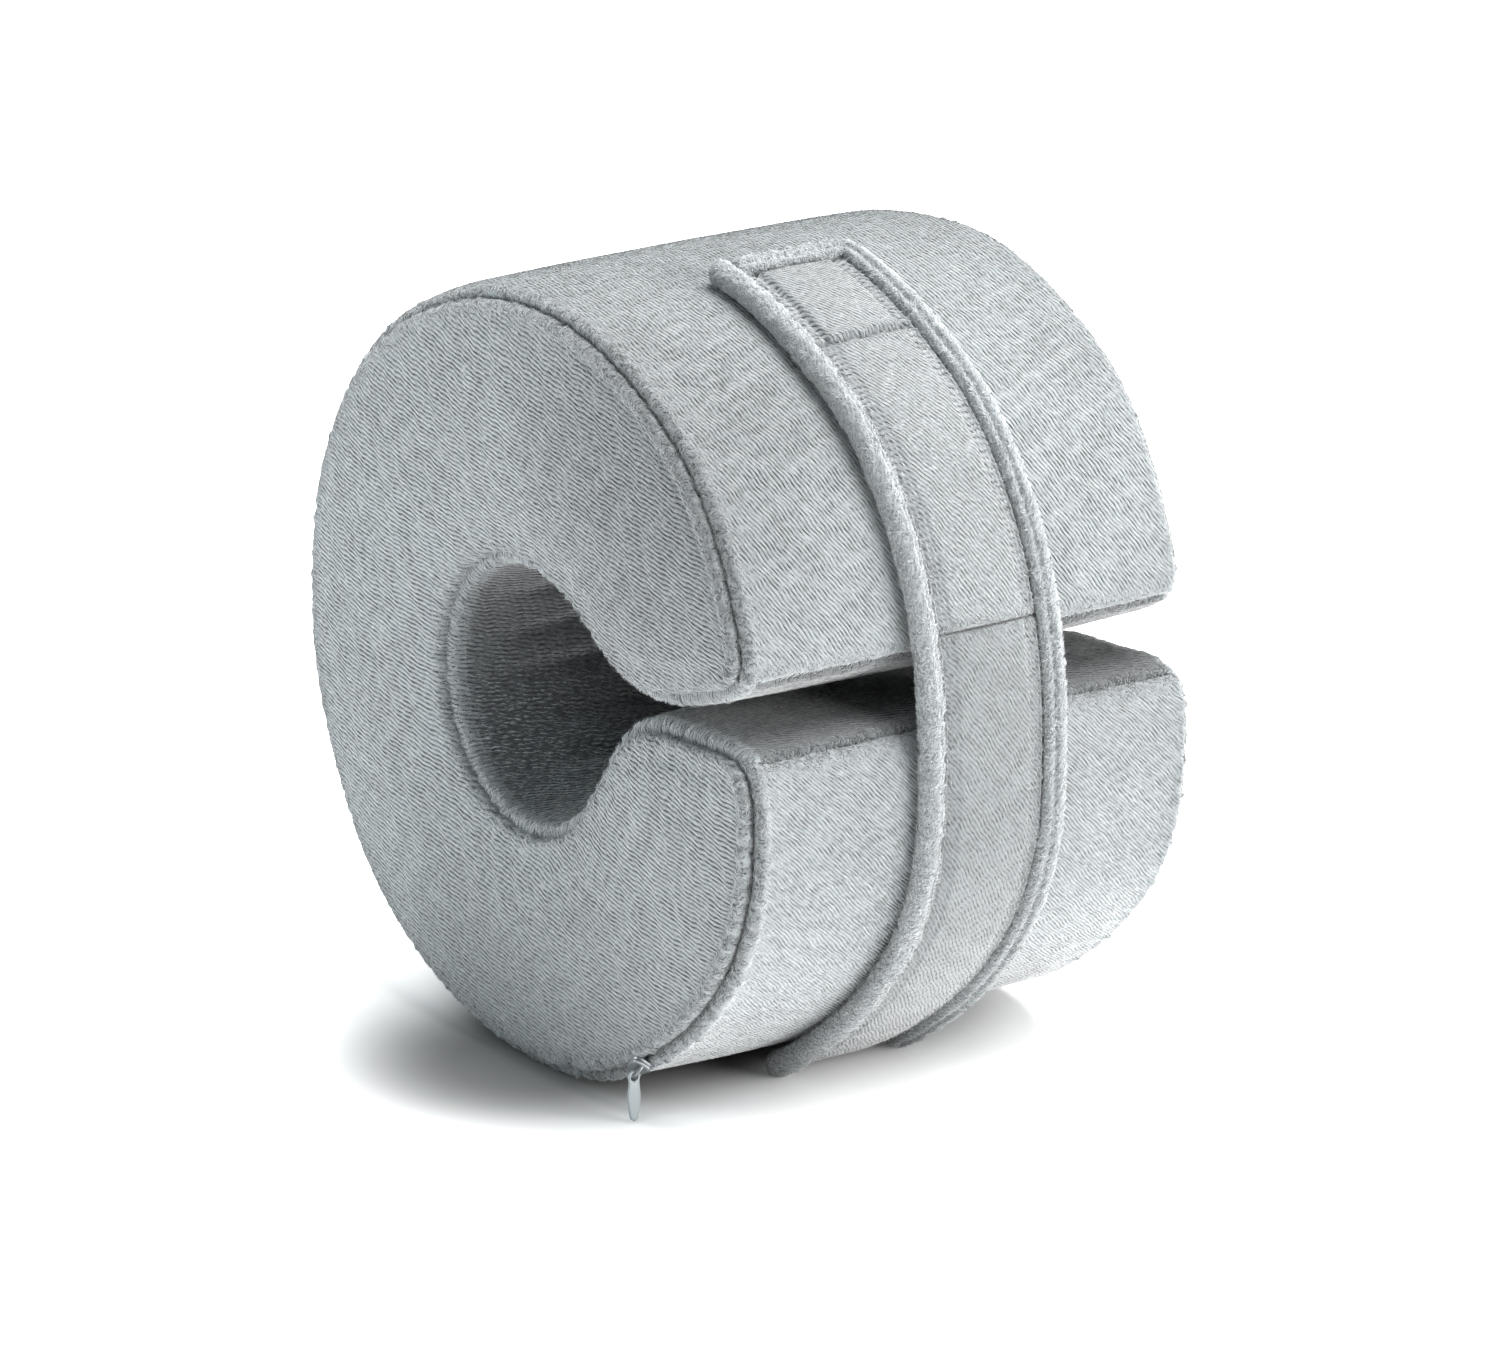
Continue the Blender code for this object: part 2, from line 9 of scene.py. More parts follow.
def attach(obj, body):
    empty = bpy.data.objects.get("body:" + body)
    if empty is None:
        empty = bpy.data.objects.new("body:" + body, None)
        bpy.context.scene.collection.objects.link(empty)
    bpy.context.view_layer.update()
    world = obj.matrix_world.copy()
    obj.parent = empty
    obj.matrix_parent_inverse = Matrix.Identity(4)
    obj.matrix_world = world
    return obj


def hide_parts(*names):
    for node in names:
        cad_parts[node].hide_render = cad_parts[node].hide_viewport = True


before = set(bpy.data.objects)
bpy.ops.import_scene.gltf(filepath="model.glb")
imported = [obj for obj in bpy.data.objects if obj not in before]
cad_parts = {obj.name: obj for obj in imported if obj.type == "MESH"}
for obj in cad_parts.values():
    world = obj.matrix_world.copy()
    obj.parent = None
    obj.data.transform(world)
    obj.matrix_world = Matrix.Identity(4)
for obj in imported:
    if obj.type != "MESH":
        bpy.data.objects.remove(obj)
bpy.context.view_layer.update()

# The cushion is a short cylinder of soft foam that lies on its side, with a leg hole along its axis and a
# slit from the hole to one side. Its cover is short grey plush: two C-shaped faces, a band and a lining for
# hole and slit, sewn edge to edge so that each seam sinks between two puckered ridges.
MM = 0.001
AXIS_HEIGHT = 119.2 * MM
FACE_DEPTH = 80.4 * MM  # from the middle to each face, before its crown
FACE_CROWN = 2.4 * MM
SIDE_DRAW = 1.3 * MM  # how far the band and the lining draw in towards the faces
HOLE_CENTRE = np.array([-3.5, -4.5]) * MM
HOLE_RADIUS = 38.0 * MM
# Band radius about the axis: degrees from +X towards +Z, millimetres
BAND_RADIUS = (
    (20, 119.6), (33, 122.0), (46, 123.6), (58, 122.6), (70, 121.8), (90, 120.9), (112, 121.3),
    (135, 121.8), (158, 121.9), (180, 121.4), (203, 122.0), (223, 123.0), (245, 121.2), (270, 120.2),
    (290, 120.9), (306, 120.8), (320, 122.4), (333, 123.4), (345, 122.4), (355, 119.8),
)
BAND_STEP = 5.0  # degrees between the points that the outline is drawn through
# Slit walls at mid-depth, from the hole out to the band: X and Z from the axis, millimetres
UPPER_WALL = (
    (19.5, 27.6), (29.0, 21.6), (38.5, 15.7), (48.0, 11.9), (58.0, 10.2), (68.0, 10.2), (81.0, 12.7),
    (95.0, 18.0), (106.5, 23.6), (111.3, 28.0), (113.6, 34.0),
)
LOWER_WALL = (
    (33.8, -18.6), (39.6, -10.2), (46.6, -2.0), (55.5, 4.4), (65.5, 7.7), (78.0, 8.9), (93.0, 9.5),
    (106.5, 8.8), (113.6, 5.6), (117.6, -0.4),
)
# Which point of each wall ends it at the hole's side, and which at the band's
UPPER_TIP, UPPER_CORNER = 3, 9
LOWER_TIP, LOWER_CORNER = 3, 8
HOLE_FROM, HOLE_TO, HOLE_POINTS = 66.0, 327.0, 29
# Soft folds of the lining: degrees about the hole, depth in millimetres, half-width in degrees
LINING_FOLDS = ((128, 1.5, 8), (150, 2.3, 8), (172, 2.0, 7), (191, 2.8, 8), (214, 1.7, 8), (236, 1.4, 8))
FOLD_RUN = 69.0 * MM
FOLD_DEPTH = 2.3  # the folds of the cloth are this many times as deep as those in the foam
LINING_REACH = 1.05  # of the hole's radius: what lies within it is folded
BAND_EDGE, WALL_EDGE, CORNER_EDGE = 7.5 * MM, 12.0 * MM, 7.0 * MM  # radii of the rolled edges
TOP_EDGE, TOP_EDGE_ANGLE, TOP_EDGE_SPREAD = 13.0 * MM, 106.0, 32.0
CORNER_REACH = 26 * MM
CROWN_RISE, CROWN_POWER = 14, 0.8
STEPS_ALONG, STEPS_ACROSS = 360, 40
BEND_WEIGHT = 8 * MM  # how much closer the points lie where the outline bends
SEAM_AT = 45.0  # degrees round the rolled edge
EDGE_ANGLES = (
    90, 81, 74, 68, 63, 59, 55.5, 52.5, 50, 48, 46.5, 45, 43.5, 42, 40, 37.5, 34.5, 31, 27, 22, 16, 9, 0,
)
MIDDLE_STEP = 5.2 * MM
SEAM_SINK, SEAM_HALF, SEAM_SWAY = 1.5 * MM, 0.70 * MM, 0.45 * MM  # the groove along each seam
RIDGE_RISE, RIDGE_AT, RIDGE_HALF = 0.95 * MM, 3.0 * MM, 1.7 * MM  # the ridge on each side of it
PUCKER_RISE, PUCKER_REACH = 0.55 * MM, 5.5 * MM  # the gathers that the thread makes
SWAY_WAVE, PULL_WAVE, RIDGE_WAVE, PUCKER_WAVE = 6.1 * MM, 4.3 * MM, 4.9 * MM, 6.3 * MM
SEAM_VARIES = 0.35  # share by which groove and ridges vary along the seam
CLOTH_WAVE, CLOTH_RISE, CLOTH_SEED = 38 * MM, 0.55 * MM, 3.1  # how uneven the cloth lies over the foam
RUFFLE_REACH = 5.0 * MM  # how far from a seam the pile is ruffled
LIP_REACH = 5.0 * MM  # how far the lip of the hole and the slit turns in from its seam
CALM_HOLE = 0.35  # how ruffled the pile is round the hole and along the slit, beside the band
FULL_AT, FULL_SPREAD, FULL_RISE = -22.0, 62.0, 1.1  # fullest below the slit: degrees, spread, gain
BACK_SEAM, BACK_AT, BACK_OVER = 0.6, 140, 50  # and flatter round the back: share, degrees, over so many
FAR_SEAMS = 0.55  # the seams of the face away from the zip are flatter still
CORNER_SEAM, CORNER_START = 0.75, 6 * MM  # and so are those down the slit's outer corners
BAND_NAP_TURN = (0.98, -0.0130)  # sideways lean of the band's nap: at 0 degrees, and for each degree
NAP_TURN_LEAST, NAP_TURN_MOST = -0.4, 1.0
LINING_NAP_FALL, FACE_NAP_FALL = 0.25, 0.22  # how far the nap falls for each step across


def smooth_table(rows, x, period=None):
    """A smooth curve through the rows of a table, which repeats if it has a period."""
    xs, ys = np.array(sorted(rows), float).T
    x = np.asarray(x, float)
    if period:
        x = (x - xs[0]) % period + xs[0]
        xs = np.concatenate([[xs[-1] - period], xs, [xs[0] + period, xs[1] + period]])
        ys = np.concatenate([[ys[-1]], ys, [ys[0], ys[1]]])
    x = np.clip(x, xs[0], xs[-1])
    slopes = np.gradient(ys, xs)
    i = np.clip(np.searchsorted(xs, x, side="right") - 1, 0, len(xs) - 2)
    width = xs[i + 1] - xs[i]
    t = (x - xs[i]) / width
    start = (1 + 2 * t) * (1 - t) ** 2 * ys[i] + t * (1 - t) ** 2 * width * slopes[i]
    return start + t**2 * (3 - 2 * t) * ys[i + 1] + t**2 * (t - 1) * width * slopes[i + 1]


def band_radius(degrees):
    return smooth_table(BAND_RADIUS, degrees, period=360) * MM


def bump(x, half_width):
    """A rounded rise from 0 to 1 and back, with nothing beyond its half-width."""
    rise = 0.5 + 0.5 * np.cos(np.pi * np.asarray(x, float) / half_width)
    return np.where(np.abs(x) < half_width, rise, 0.0)


def hill(x, half_width):
    """A rise to 1 that dies away softly to both sides."""
    return np.exp(-((x / half_width) ** 2))


def ripple(x, wavelength, phase=0.0):
    """An uneven wave between about -1 and 1."""
    turn = 2 * math.pi * np.asarray(x, float) / wavelength
    waves = np.sin(turn + phase) + 0.7 * np.sin(1.63 * turn + 1.9 * phase) + 0.6 * np.sin(0.61 * turn + 2.2)
    return waves / 1.9


def closed_spline(knots, steps=12):
    """A smooth closed line through the knots, with so many steps between each two."""
    knots = np.array(knots, float)
    before, after, next_after = np.roll(knots, 1, 0), np.roll(knots, -1, 0), np.roll(knots, -2, 0)
    gap = np.linalg.norm(after - knots, axis=1)[:, None]
    gap_before, gap_after = np.roll(gap, 1, 0), np.roll(gap, -1, 0)
    inward = (knots - before) / gap_before
    outgoing = (after - knots) / gap
    beyond = (next_after - after) / gap_after
    leaving = (inward * gap + outgoing * gap_before) / (gap + gap_before) * gap
    arriving = (outgoing * gap_after + beyond * gap) / (gap + gap_after) * gap
    points = []
    for step in range(steps):
        t = step / steps
        points.append(
            (1 + 2 * t) * (1 - t) ** 2 * knots + t * (1 - t) ** 2 * leaving
            + t * t * (3 - 2 * t) * after + t * t * (t - 1) * arriving
        )
    return np.stack(points, 1).reshape(-1, 2)


def spread_evenly(line, count):
    """So many points along a line, closer together where it bends."""
    steps = np.diff(line, axis=0)
    heading = np.unwrap(np.arctan2(steps[:, 1], steps[:, 0]))
    length = np.linalg.norm(steps, axis=1) + BEND_WEIGHT * np.abs(np.gradient(heading))
    travelled = np.concatenate([[0], np.cumsum(length)])
    wanted = np.linspace(0, travelled[-1], count + 1)[:-1]
    return np.stack([np.interp(wanted, travelled, line[:, k]) for k in range(2)], 1)


def cushion_outline():
    """The outline at mid-depth: band, lower wall, hole and upper wall."""
    angles = np.arange(BAND_RADIUS[0][0], BAND_RADIUS[-1][0] + 1, BAND_STEP)
    ways = np.stack([np.cos(np.radians(angles)), np.sin(np.radians(angles))], 1)
    band = ways * band_radius(angles)[:, None]
    turned = np.radians(np.linspace(HOLE_TO, HOLE_FROM, HOLE_POINTS))
    hole = HOLE_CENTRE + HOLE_RADIUS * np.stack([np.cos(turned), np.sin(turned)], 1)
    lower, upper = np.array(LOWER_WALL[::-1]) * MM, np.array(UPPER_WALL) * MM
    line = closed_spline(np.concatenate([band, lower, hole, upper]))
    line = np.roll(line, -int(np.argmin(np.linalg.norm(line - upper[UPPER_CORNER], axis=1))), 0)
    line = np.concatenate([line, line[:1]])
    turns = [lower[len(lower) - 1 - LOWER_CORNER], lower[len(lower) - 1 - LOWER_TIP], upper[UPPER_TIP]]
    cuts = [int(np.argmin(np.linalg.norm(line - turn, axis=1))) for turn in turns]
    cuts = [0] + cuts + [len(line) - 1]
    counts = (STEPS_ALONG, STEPS_ACROSS, STEPS_ALONG, STEPS_ACROSS)
    return np.concatenate([spread_evenly(line[a : b + 1], n) for a, b, n in zip(cuts, cuts[1:], counts)])


def seam_profile(away, along, strength=1.0):
    """Height of the cloth beside a seam: a groove between two ridges, gathered where the thread pulls."""
    away = away + SEAM_SWAY * ripple(along, SWAY_WAVE, phase=2.6)
    pull = 1 + SEAM_VARIES * ripple(along, PULL_WAVE, phase=0.7)
    ridge = 1 + SEAM_VARIES * ripple(along, RIDGE_WAVE, phase=1.9) * np.sign(away + 1e-9)
    ridges = RIDGE_RISE * ridge * hill(np.abs(away) - RIDGE_AT, RIDGE_HALF)
    height = ridges - SEAM_SINK * pull * hill(away, SEAM_HALF)
    gathers = PUCKER_RISE * ripple(along, PUCKER_WAVE, phase=0.3) * hill(away, PUCKER_REACH)
    return strength * (height + gathers * (1 - hill(away, SEAM_HALF)))


def uneven(points, wavelength, seed):
    """A soft unevenness between about -1 and 1 at each point."""
    places = points.reshape(-1, 3) / wavelength + seed
    return np.array([noise.noise(Vector(p)) for p in places]).reshape(points.shape[:-1])


def mesh_object(name, points, quads, nap, **measures):
    """A mesh from numpy points and faces of one kind. The nap map holds two coordinates in metres for each
    corner of each face, and a measure one number for each point."""
    mesh = bpy.data.meshes.new(name)
    mesh.vertices.add(len(points))
    mesh.vertices.foreach_set("co", points.astype(np.float32).ravel())
    mesh.loops.add(quads.size)
    mesh.loops.foreach_set("vertex_index", quads.astype(np.int32).ravel())
    mesh.polygons.add(len(quads))
    mesh.polygons.foreach_set("loop_start", np.arange(0, quads.size, quads.shape[1], dtype=np.int32))
    mesh.update(calc_edges=True)
    layer = mesh.uv_layers.new(name="nap")
    layer.data.foreach_set("uv", nap.astype(np.float32).ravel())
    for measure, values in measures.items():
        kept = mesh.attributes.new(measure, "FLOAT", "POINT")
        kept.data.foreach_set("value", values.astype(np.float32))
    mesh.shade_smooth()
    made = bpy.data.objects.new(name, mesh)
    bpy.context.scene.collection.objects.link(made)
    return made


outline = cushion_outline()
count = len(outline)
on_band = np.arange(count) < STEPS_ALONG
around = np.roll(outline, -1, 0) - np.roll(outline, 1, 0)
around /= np.linalg.norm(around, axis=1)[:, None]
outward = np.stack([around[:, 1], -around[:, 0]], 1)
gaps = np.linalg.norm(np.roll(outline, -1, 0) - outline, axis=1)
travel = np.concatenate([[0], np.cumsum(gaps)])
angle = np.degrees(np.arctan2(outline[:, 1], outline[:, 0])) % 360
top_share = bump(angle - TOP_EDGE_ANGLE, TOP_EDGE_SPREAD)
edge = np.where(on_band, BAND_EDGE + (TOP_EDGE - BAND_EDGE) * top_share, WALL_EDGE)
corner_away = []
for corner in (0, STEPS_ALONG):
    from_corner = np.linalg.norm(outline - outline[corner], axis=1) / CORNER_REACH
    edge = CORNER_EDGE + (edge - CORNER_EDGE) * np.clip(from_corner, 0, 1)
    away = travel[:count] - travel[corner]
    corner_away.append((away + travel[-1] / 2) % travel[-1] - travel[-1] / 2)
from_hole = outline - HOLE_CENTRE
hole_angle = np.degrees(np.arctan2(from_hole[:, 1], from_hole[:, 0])) % 360
folds = sum(deep * MM * bump(hole_angle - at, half) for at, deep, half in LINING_FOLDS)
folds = FOLD_DEPTH * folds * (np.linalg.norm(from_hole, axis=1) < HOLE_RADIUS * LINING_REACH)

# Rings round the cushion, from the zipped face over its rolled edge and across the band to the other face
rings, ring_normals, ring_seam, ring_face = [], [], [], []
middle_end = FACE_DEPTH - edge.max() - MIDDLE_STEP / 2
middle = np.linspace(-middle_end, middle_end, int(2 * middle_end / MIDDLE_STEP))
ring_kinds = [(-1, phi) for phi in EDGE_ANGLES] + [(0, y) for y in middle]
ring_kinds += [(1, phi) for phi in EDGE_ANGLES[::-1]]
for side, value in ring_kinds:
    if side:
        phi = math.radians(value)
        y = side * (FACE_DEPTH - edge * (1 - math.sin(phi)))
        inset = edge * (1 - math.cos(phi))
        seam_away = edge * (phi - math.radians(SEAM_AT))
    else:
        phi, y = 0.0, np.full(count, value)
        inset = folds * bump(value, FOLD_RUN)
        seam_away = -(FACE_DEPTH - edge - abs(value)) - edge * math.radians(SEAM_AT)
    inset = inset + SIDE_DRAW * (np.abs(y) / FACE_DEPTH) ** 2
    flat = outline - outward * inset[:, None]
    rings.append(np.stack([flat[:, 0], y, flat[:, 1]], 1))
    lean = side * math.sin(phi) * np.ones(count)
    ring_normals.append(np.stack([outward[:, 0] * math.cos(phi), lean, outward[:, 1] * math.cos(phi)], 1))
    ring_seam.append(seam_away)
    ring_face.append(bool(side) and value > SEAM_AT)
rings, ring_normals, ring_seam = np.array(rings), np.array(ring_normals), np.array(ring_seam)
along = np.broadcast_to(travel[:count], ring_seam.shape)
shown_angle = np.where(angle > 270, angle - 360, angle)
fullness = BACK_SEAM + (1 - BACK_SEAM) * np.clip((BACK_AT - shown_angle) / BACK_OVER, 0, 1)
fullness = fullness * (1 + FULL_RISE * bump(shown_angle - FULL_AT, FULL_SPREAD) * on_band)
far_share = np.where(rings[:, :, 1] > 0, FAR_SEAMS, 1.0)
rise = seam_profile(ring_seam, along, fullness * far_share)
ruffle = hill(ring_seam, RUFFLE_REACH) * np.where(on_band, 1.0, CALM_HOLE) * far_share
bare = hill(ring_seam, SEAM_HALF)
beside = np.clip(-ring_seam / CORNER_START, 0, 1)
for away in corner_away:
    away = np.broadcast_to(away, ring_seam.shape)
    rise = rise + seam_profile(away, rings[:, :, 1], CORNER_SEAM) * beside
    ruffle = np.maximum(ruffle, hill(away, RUFFLE_REACH) * (ring_seam < 0))
    bare = np.maximum(bare, hill(away, SEAM_HALF) * (ring_seam < 0))
rise = rise + CLOTH_RISE * uneven(rings, CLOTH_WAVE, CLOTH_SEED)
band_run = np.linalg.norm(np.diff(rings, axis=0), axis=2)
band_run = np.concatenate([np.zeros((1, count)), np.cumsum(band_run, axis=0)])
band_run -= band_run[len(rings) // 2]
plain_rings = rings
rings = rings + ring_normals * rise[:, :, None]


def rim_distance(grid, start):
    """How far each row of the grid lies from its first one, along the columns, past the start."""
    steps = np.linalg.norm(np.diff(grid, axis=0), axis=2)
    return np.concatenate([np.zeros((1, grid.shape[1])), np.cumsum(steps, axis=0)]) + start


def face_grid(ring, side):
    """The C-shaped face inside a ring: rows from the band to the hole, crowned between its seams."""
    n, m = STEPS_ALONG, STEPS_ACROSS
    to_lower, to_upper = n + np.arange(m + 1), (-np.arange(m + 1)) % count
    cuts = (np.arange(n + 1), to_lower, (2 * n + m) - np.arange(n + 1), to_upper)
    band, lower, hole, upper = (ring[cut] for cut in cuts)
    v, u = np.linspace(0, 1, m + 1)[:, None, None], np.linspace(0, 1, n + 1)[None, :, None]
    corners = (1 - u) * ((1 - v) * band[0] + v * hole[0]) + u * ((1 - v) * band[-1] + v * hole[-1])
    grid = (1 - v) * band + v * hole + (1 - u) * upper[:, None] + u * lower[:, None] - corners
    seam_gap = edge * math.radians(90 - SEAM_AT)
    down, over = grid, grid.transpose(1, 0, 2)
    gaps = np.array([
        rim_distance(down, seam_gap[cuts[0]]),
        rim_distance(over[::-1], seam_gap[cuts[1]])[::-1].T,
        rim_distance(down[::-1], seam_gap[cuts[2]])[::-1],
        rim_distance(over, seam_gap[cuts[3]]).T,
    ])
    nearest = gaps.argmin(0)[None]
    gap = np.take_along_axis(gaps, nearest, 0)[0]

    def at_nearest(values):
        """The values along the rim, taken for each point from the side that is nearest to it."""
        sides = [values[cut][None] if k % 2 == 0 else values[cut][:, None] for k, cut in enumerate(cuts)]
        return np.take_along_axis(np.array(np.broadcast_arrays(*sides)), nearest, 0)[0]

    share = FAR_SEAMS if side > 0 else 1.0
    ruffled = hill(gap, RUFFLE_REACH) * np.where(nearest[0] == 0, 1.0, CALM_HOLE) * share
    rise = seam_profile(gap, at_nearest(travel), at_nearest(fullness) * share)
    rise = rise + CLOTH_RISE * uneven(grid, CLOTH_WAVE, CLOTH_SEED)
    v, u = v[:, :, 0], u[:, :, 0]
    inside = np.clip(4 * v * (1 - v) * np.clip(CROWN_RISE * np.minimum(u, 1 - u), 0, 1), 0, 1)
    grid[:, :, 1] += side * (FACE_CROWN * inside**CROWN_POWER + rise)
    return grid, ruffled


def rim_numbers(first):
    """The numbers of a face's points, filled in only along its rim, where they are its ring's."""
    n, m = STEPS_ALONG, STEPS_ACROSS
    total = 2 * (n + m)
    index = np.zeros((m + 1, n + 1), int)
    index[0] = first + np.arange(n + 1)
    index[m] = first + 2 * n + m - np.arange(n + 1)
    index[:, n] = first + n + np.arange(m + 1)
    index[:, 0] = first + (total - np.arange(m + 1)) % total
    return index


def face_nap(points):
    return np.stack([points[..., 0], points[..., 2] + FACE_NAP_FALL * points[..., 0]], -1)


k, i = np.meshgrid(np.arange(len(rings) - 1), np.arange(count), indexing="ij")
j = (i + 1) % count
quads = np.stack([k * count + i, k * count + j, (k + 1) * count + j, (k + 1) * count + i], -1)
quads = quads.reshape(-1, 4)
nap_turn = np.clip(BAND_NAP_TURN[0] + BAND_NAP_TURN[1] * shown_angle, NAP_TURN_LEAST, NAP_TURN_MOST)
nap_drift = np.concatenate([[0], np.cumsum(nap_turn * np.diff(travel))])
columns = np.concatenate([band_run, band_run[:, :1]], axis=1)
travel_2d = np.broadcast_to(travel, columns.shape)
band_nap = np.stack([-travel_2d, columns + nap_drift], -1)
lining_nap = np.stack([columns, travel_2d + LINING_NAP_FALL * columns], -1)
rim_nap = face_nap(np.concatenate([rings, rings[:, :1]], axis=1))
side_nap = []
for kind in (band_nap, lining_nap, rim_nap):
    corners = [kind[k + a, i + b] for a, b in ((0, 0), (0, 1), (1, 1), (1, 0))]
    side_nap.append(np.stack(corners, -2).reshape(-1, 4, 2))
face_quad = np.array([ring_face[a] or ring_face[a + 1] for a in range(len(rings) - 1)])[k].ravel()
lining_quad = (i >= STEPS_ALONG).ravel()
nap = np.where(lining_quad[:, None, None], side_nap[1], side_nap[0])
nap = np.where(face_quad[:, None, None], side_nap[2], nap)
lip_quad = lining_quad & (ring_seam[k, i] > -LIP_REACH).ravel()
FACE_PANEL, BAND_PANEL, LINING_PANEL = 0, 1, 2
panel = np.where(face_quad | lip_quad, FACE_PANEL, np.where(lining_quad, LINING_PANEL, BAND_PANEL))

points, all_ruffle, all_bare = [rings.reshape(-1, 3)], [ruffle.ravel()], [bare.ravel()]
all_quads, all_nap, all_panels = [quads], [nap], [panel]
made = count * len(rings)
inner_count = (STEPS_ACROSS - 1) * (STEPS_ALONG - 1)
for ring_index, side in ((0, -1), (len(rings) - 1, 1)):
    grid, ruffled = face_grid(plain_rings[ring_index], side)
    index = rim_numbers(ring_index * count)
    index[1:-1, 1:-1] = made + np.arange(inner_count).reshape(STEPS_ACROSS - 1, -1)
    made += inner_count
    points.append(grid[1:-1, 1:-1].reshape(-1, 3))
    all_ruffle.append(ruffled[1:-1, 1:-1].ravel())
    all_bare.append(np.zeros(inner_count))
    here, onward = slice(0, -1), slice(1, None)
    corners = [(here, here), (here, onward), (onward, onward), (onward, here)]
    if side < 0:
        corners = corners[::-1]
    all_quads.append(np.stack([index[a, b] for a, b in corners], -1).reshape(-1, 4))
    flat_nap = face_nap(grid)
    all_nap.append(np.stack([flat_nap[a, b] for a, b in corners], -2).reshape(-1, 4, 2))
    all_panels.append(np.full(STEPS_ACROSS * STEPS_ALONG, FACE_PANEL))
cover_points = np.concatenate(points)
cover_points[:, 2] = np.maximum(cover_points[:, 2] + AXIS_HEIGHT, 0.0)
cover_quads, cover_nap = np.concatenate(all_quads), np.concatenate(all_nap)
cover_panel = np.concatenate(all_panels)
cover_ruffle, cover_bare = np.concatenate(all_ruffle), np.concatenate(all_bare)


def volume(points, quads):
    """The volume inside the faces, which is negative where they look inwards."""
    a, b, c, d = (points[quads[:, n]] for n in range(4))
    return (np.einsum("ij,ij->i", a, np.cross(b, c)) + np.einsum("ij,ij->i", a, np.cross(c, d))).sum() / 6


if volume(cover_points, cover_quads) < 0:
    cover_quads, cover_nap = cover_quads[:, ::-1], cover_nap[:, ::-1]
cover = mesh_object("cushion_cover", cover_points, cover_quads, cover_nap, ruffle=cover_ruffle)


class Wire:
    """A socket of a material's node tree. The usual operators add Math nodes, and node() adds any other."""

    def __init__(self, tree, socket=None):
        self.tree, self.socket = tree, socket

    def node(self, kind, settings=None, inputs=None, output=0):
        made = self.tree.nodes.new(kind)
        for name, value in (settings or {}).items():
            setattr(made, name, value)
        for name, value in (inputs or {}).items():
            if isinstance(value, Wire):
                self.tree.links.new(value.socket, made.inputs[name])
            else:
                made.inputs[name].default_value = value
        return Wire(self.tree, made.outputs[output])

    def maths(self, operation, *values):
        return self.node("ShaderNodeMath", {"operation": operation}, dict(enumerate(values)))

    def __add__(self, other):
        return self.maths("ADD", self, other)

    def __sub__(self, other):
        return self.maths("SUBTRACT", self, other)

    def __rsub__(self, other):
        return self.maths("SUBTRACT", other, self)

    def __mul__(self, other):
        return self.maths("MULTIPLY", self, other)

    def __truediv__(self, other):
        return self.maths("DIVIDE", self, other)

    def __rtruediv__(self, other):
        return self.maths("DIVIDE", other, self)

    def __pow__(self, other):
        return self.maths("POWER", self, other)

    def __rpow__(self, other):
        return self.maths("POWER", other, self)

    def __abs__(self):
        return self.maths("ABSOLUTE", self)

    __radd__, __rmul__ = __add__, __mul__

    def sine(self):
        return self.maths("SINE", self)

    def whole(self):
        return self.maths("FLOOR", self)

    def at_least(self, other):
        return self.maths("MAXIMUM", self, other)

    def clamped(self, low, high):
        """0 up to the low value and 1 from the high one, with a smooth rise between them."""
        ranged = {"From Min": low, "From Max": high, "To Min": 0.0, "To Max": 1.0, "Value": self}
        return self.node("ShaderNodeMapRange", {"interpolation_type": "SMOOTHSTEP"}, ranged)

    def between(self, shade, colour):
        """The shade where this is 0 and the colour where it is 1."""
        ends = {"Factor": self, 6: (*shade, 1.0), 7: (*colour, 1.0)}
        return self.node("ShaderNodeMix", {"data_type": "RGBA"}, ends, output=2)

    def also(self, output):
        """Another output of the node that this socket is on."""
        return Wire(self.tree, self.socket.node.outputs[output])

    def feeds(self, shader, name):
        self.tree.links.new(self.socket, shader.inputs[name])


def new_look(name, finish):
    """A material with the finish on its shader's own sockets, its shader, and a wire to start from."""
    look = bpy.data.materials.new(name)
    look.use_nodes = True
    shader = look.node_tree.nodes["Principled BSDF"]
    for socket, value in finish.items():
        shader.inputs[socket].default_value = value
    return look, shader, Wire(look.node_tree)


ROW_SWAY, SWAY_RUN, SWAY_TURN, SWAY_ACROSS = 0.21, 2.3 * MM, 1.9, 5.3 * MM  # how the rows of tufts sway
ROW_SHAKE, SHAKE_RUN, SHAKE_ACROSS = 0.11, 0.91 * MM, 2.9 * MM  # and shake a little besides
ROW_SHIFT, ROW_DRAW = 0.9, 0.37  # how far the tufts of one row are shifted beside those of the next
TUFT_DRIFT, DRIFT_ACROSS, DRIFT_RUN = 0.4, 7.9 * MM, 11.0 * MM
DEEP_ROW, DEEP_COLUMN = 0.73, 1.7
CREASE_POWER, CREASE_ENDS, CREASE_MIDDLE, SHALLOWEST, DEEPER = 1.9, 0.25, 0.75, 0.45, 0.55


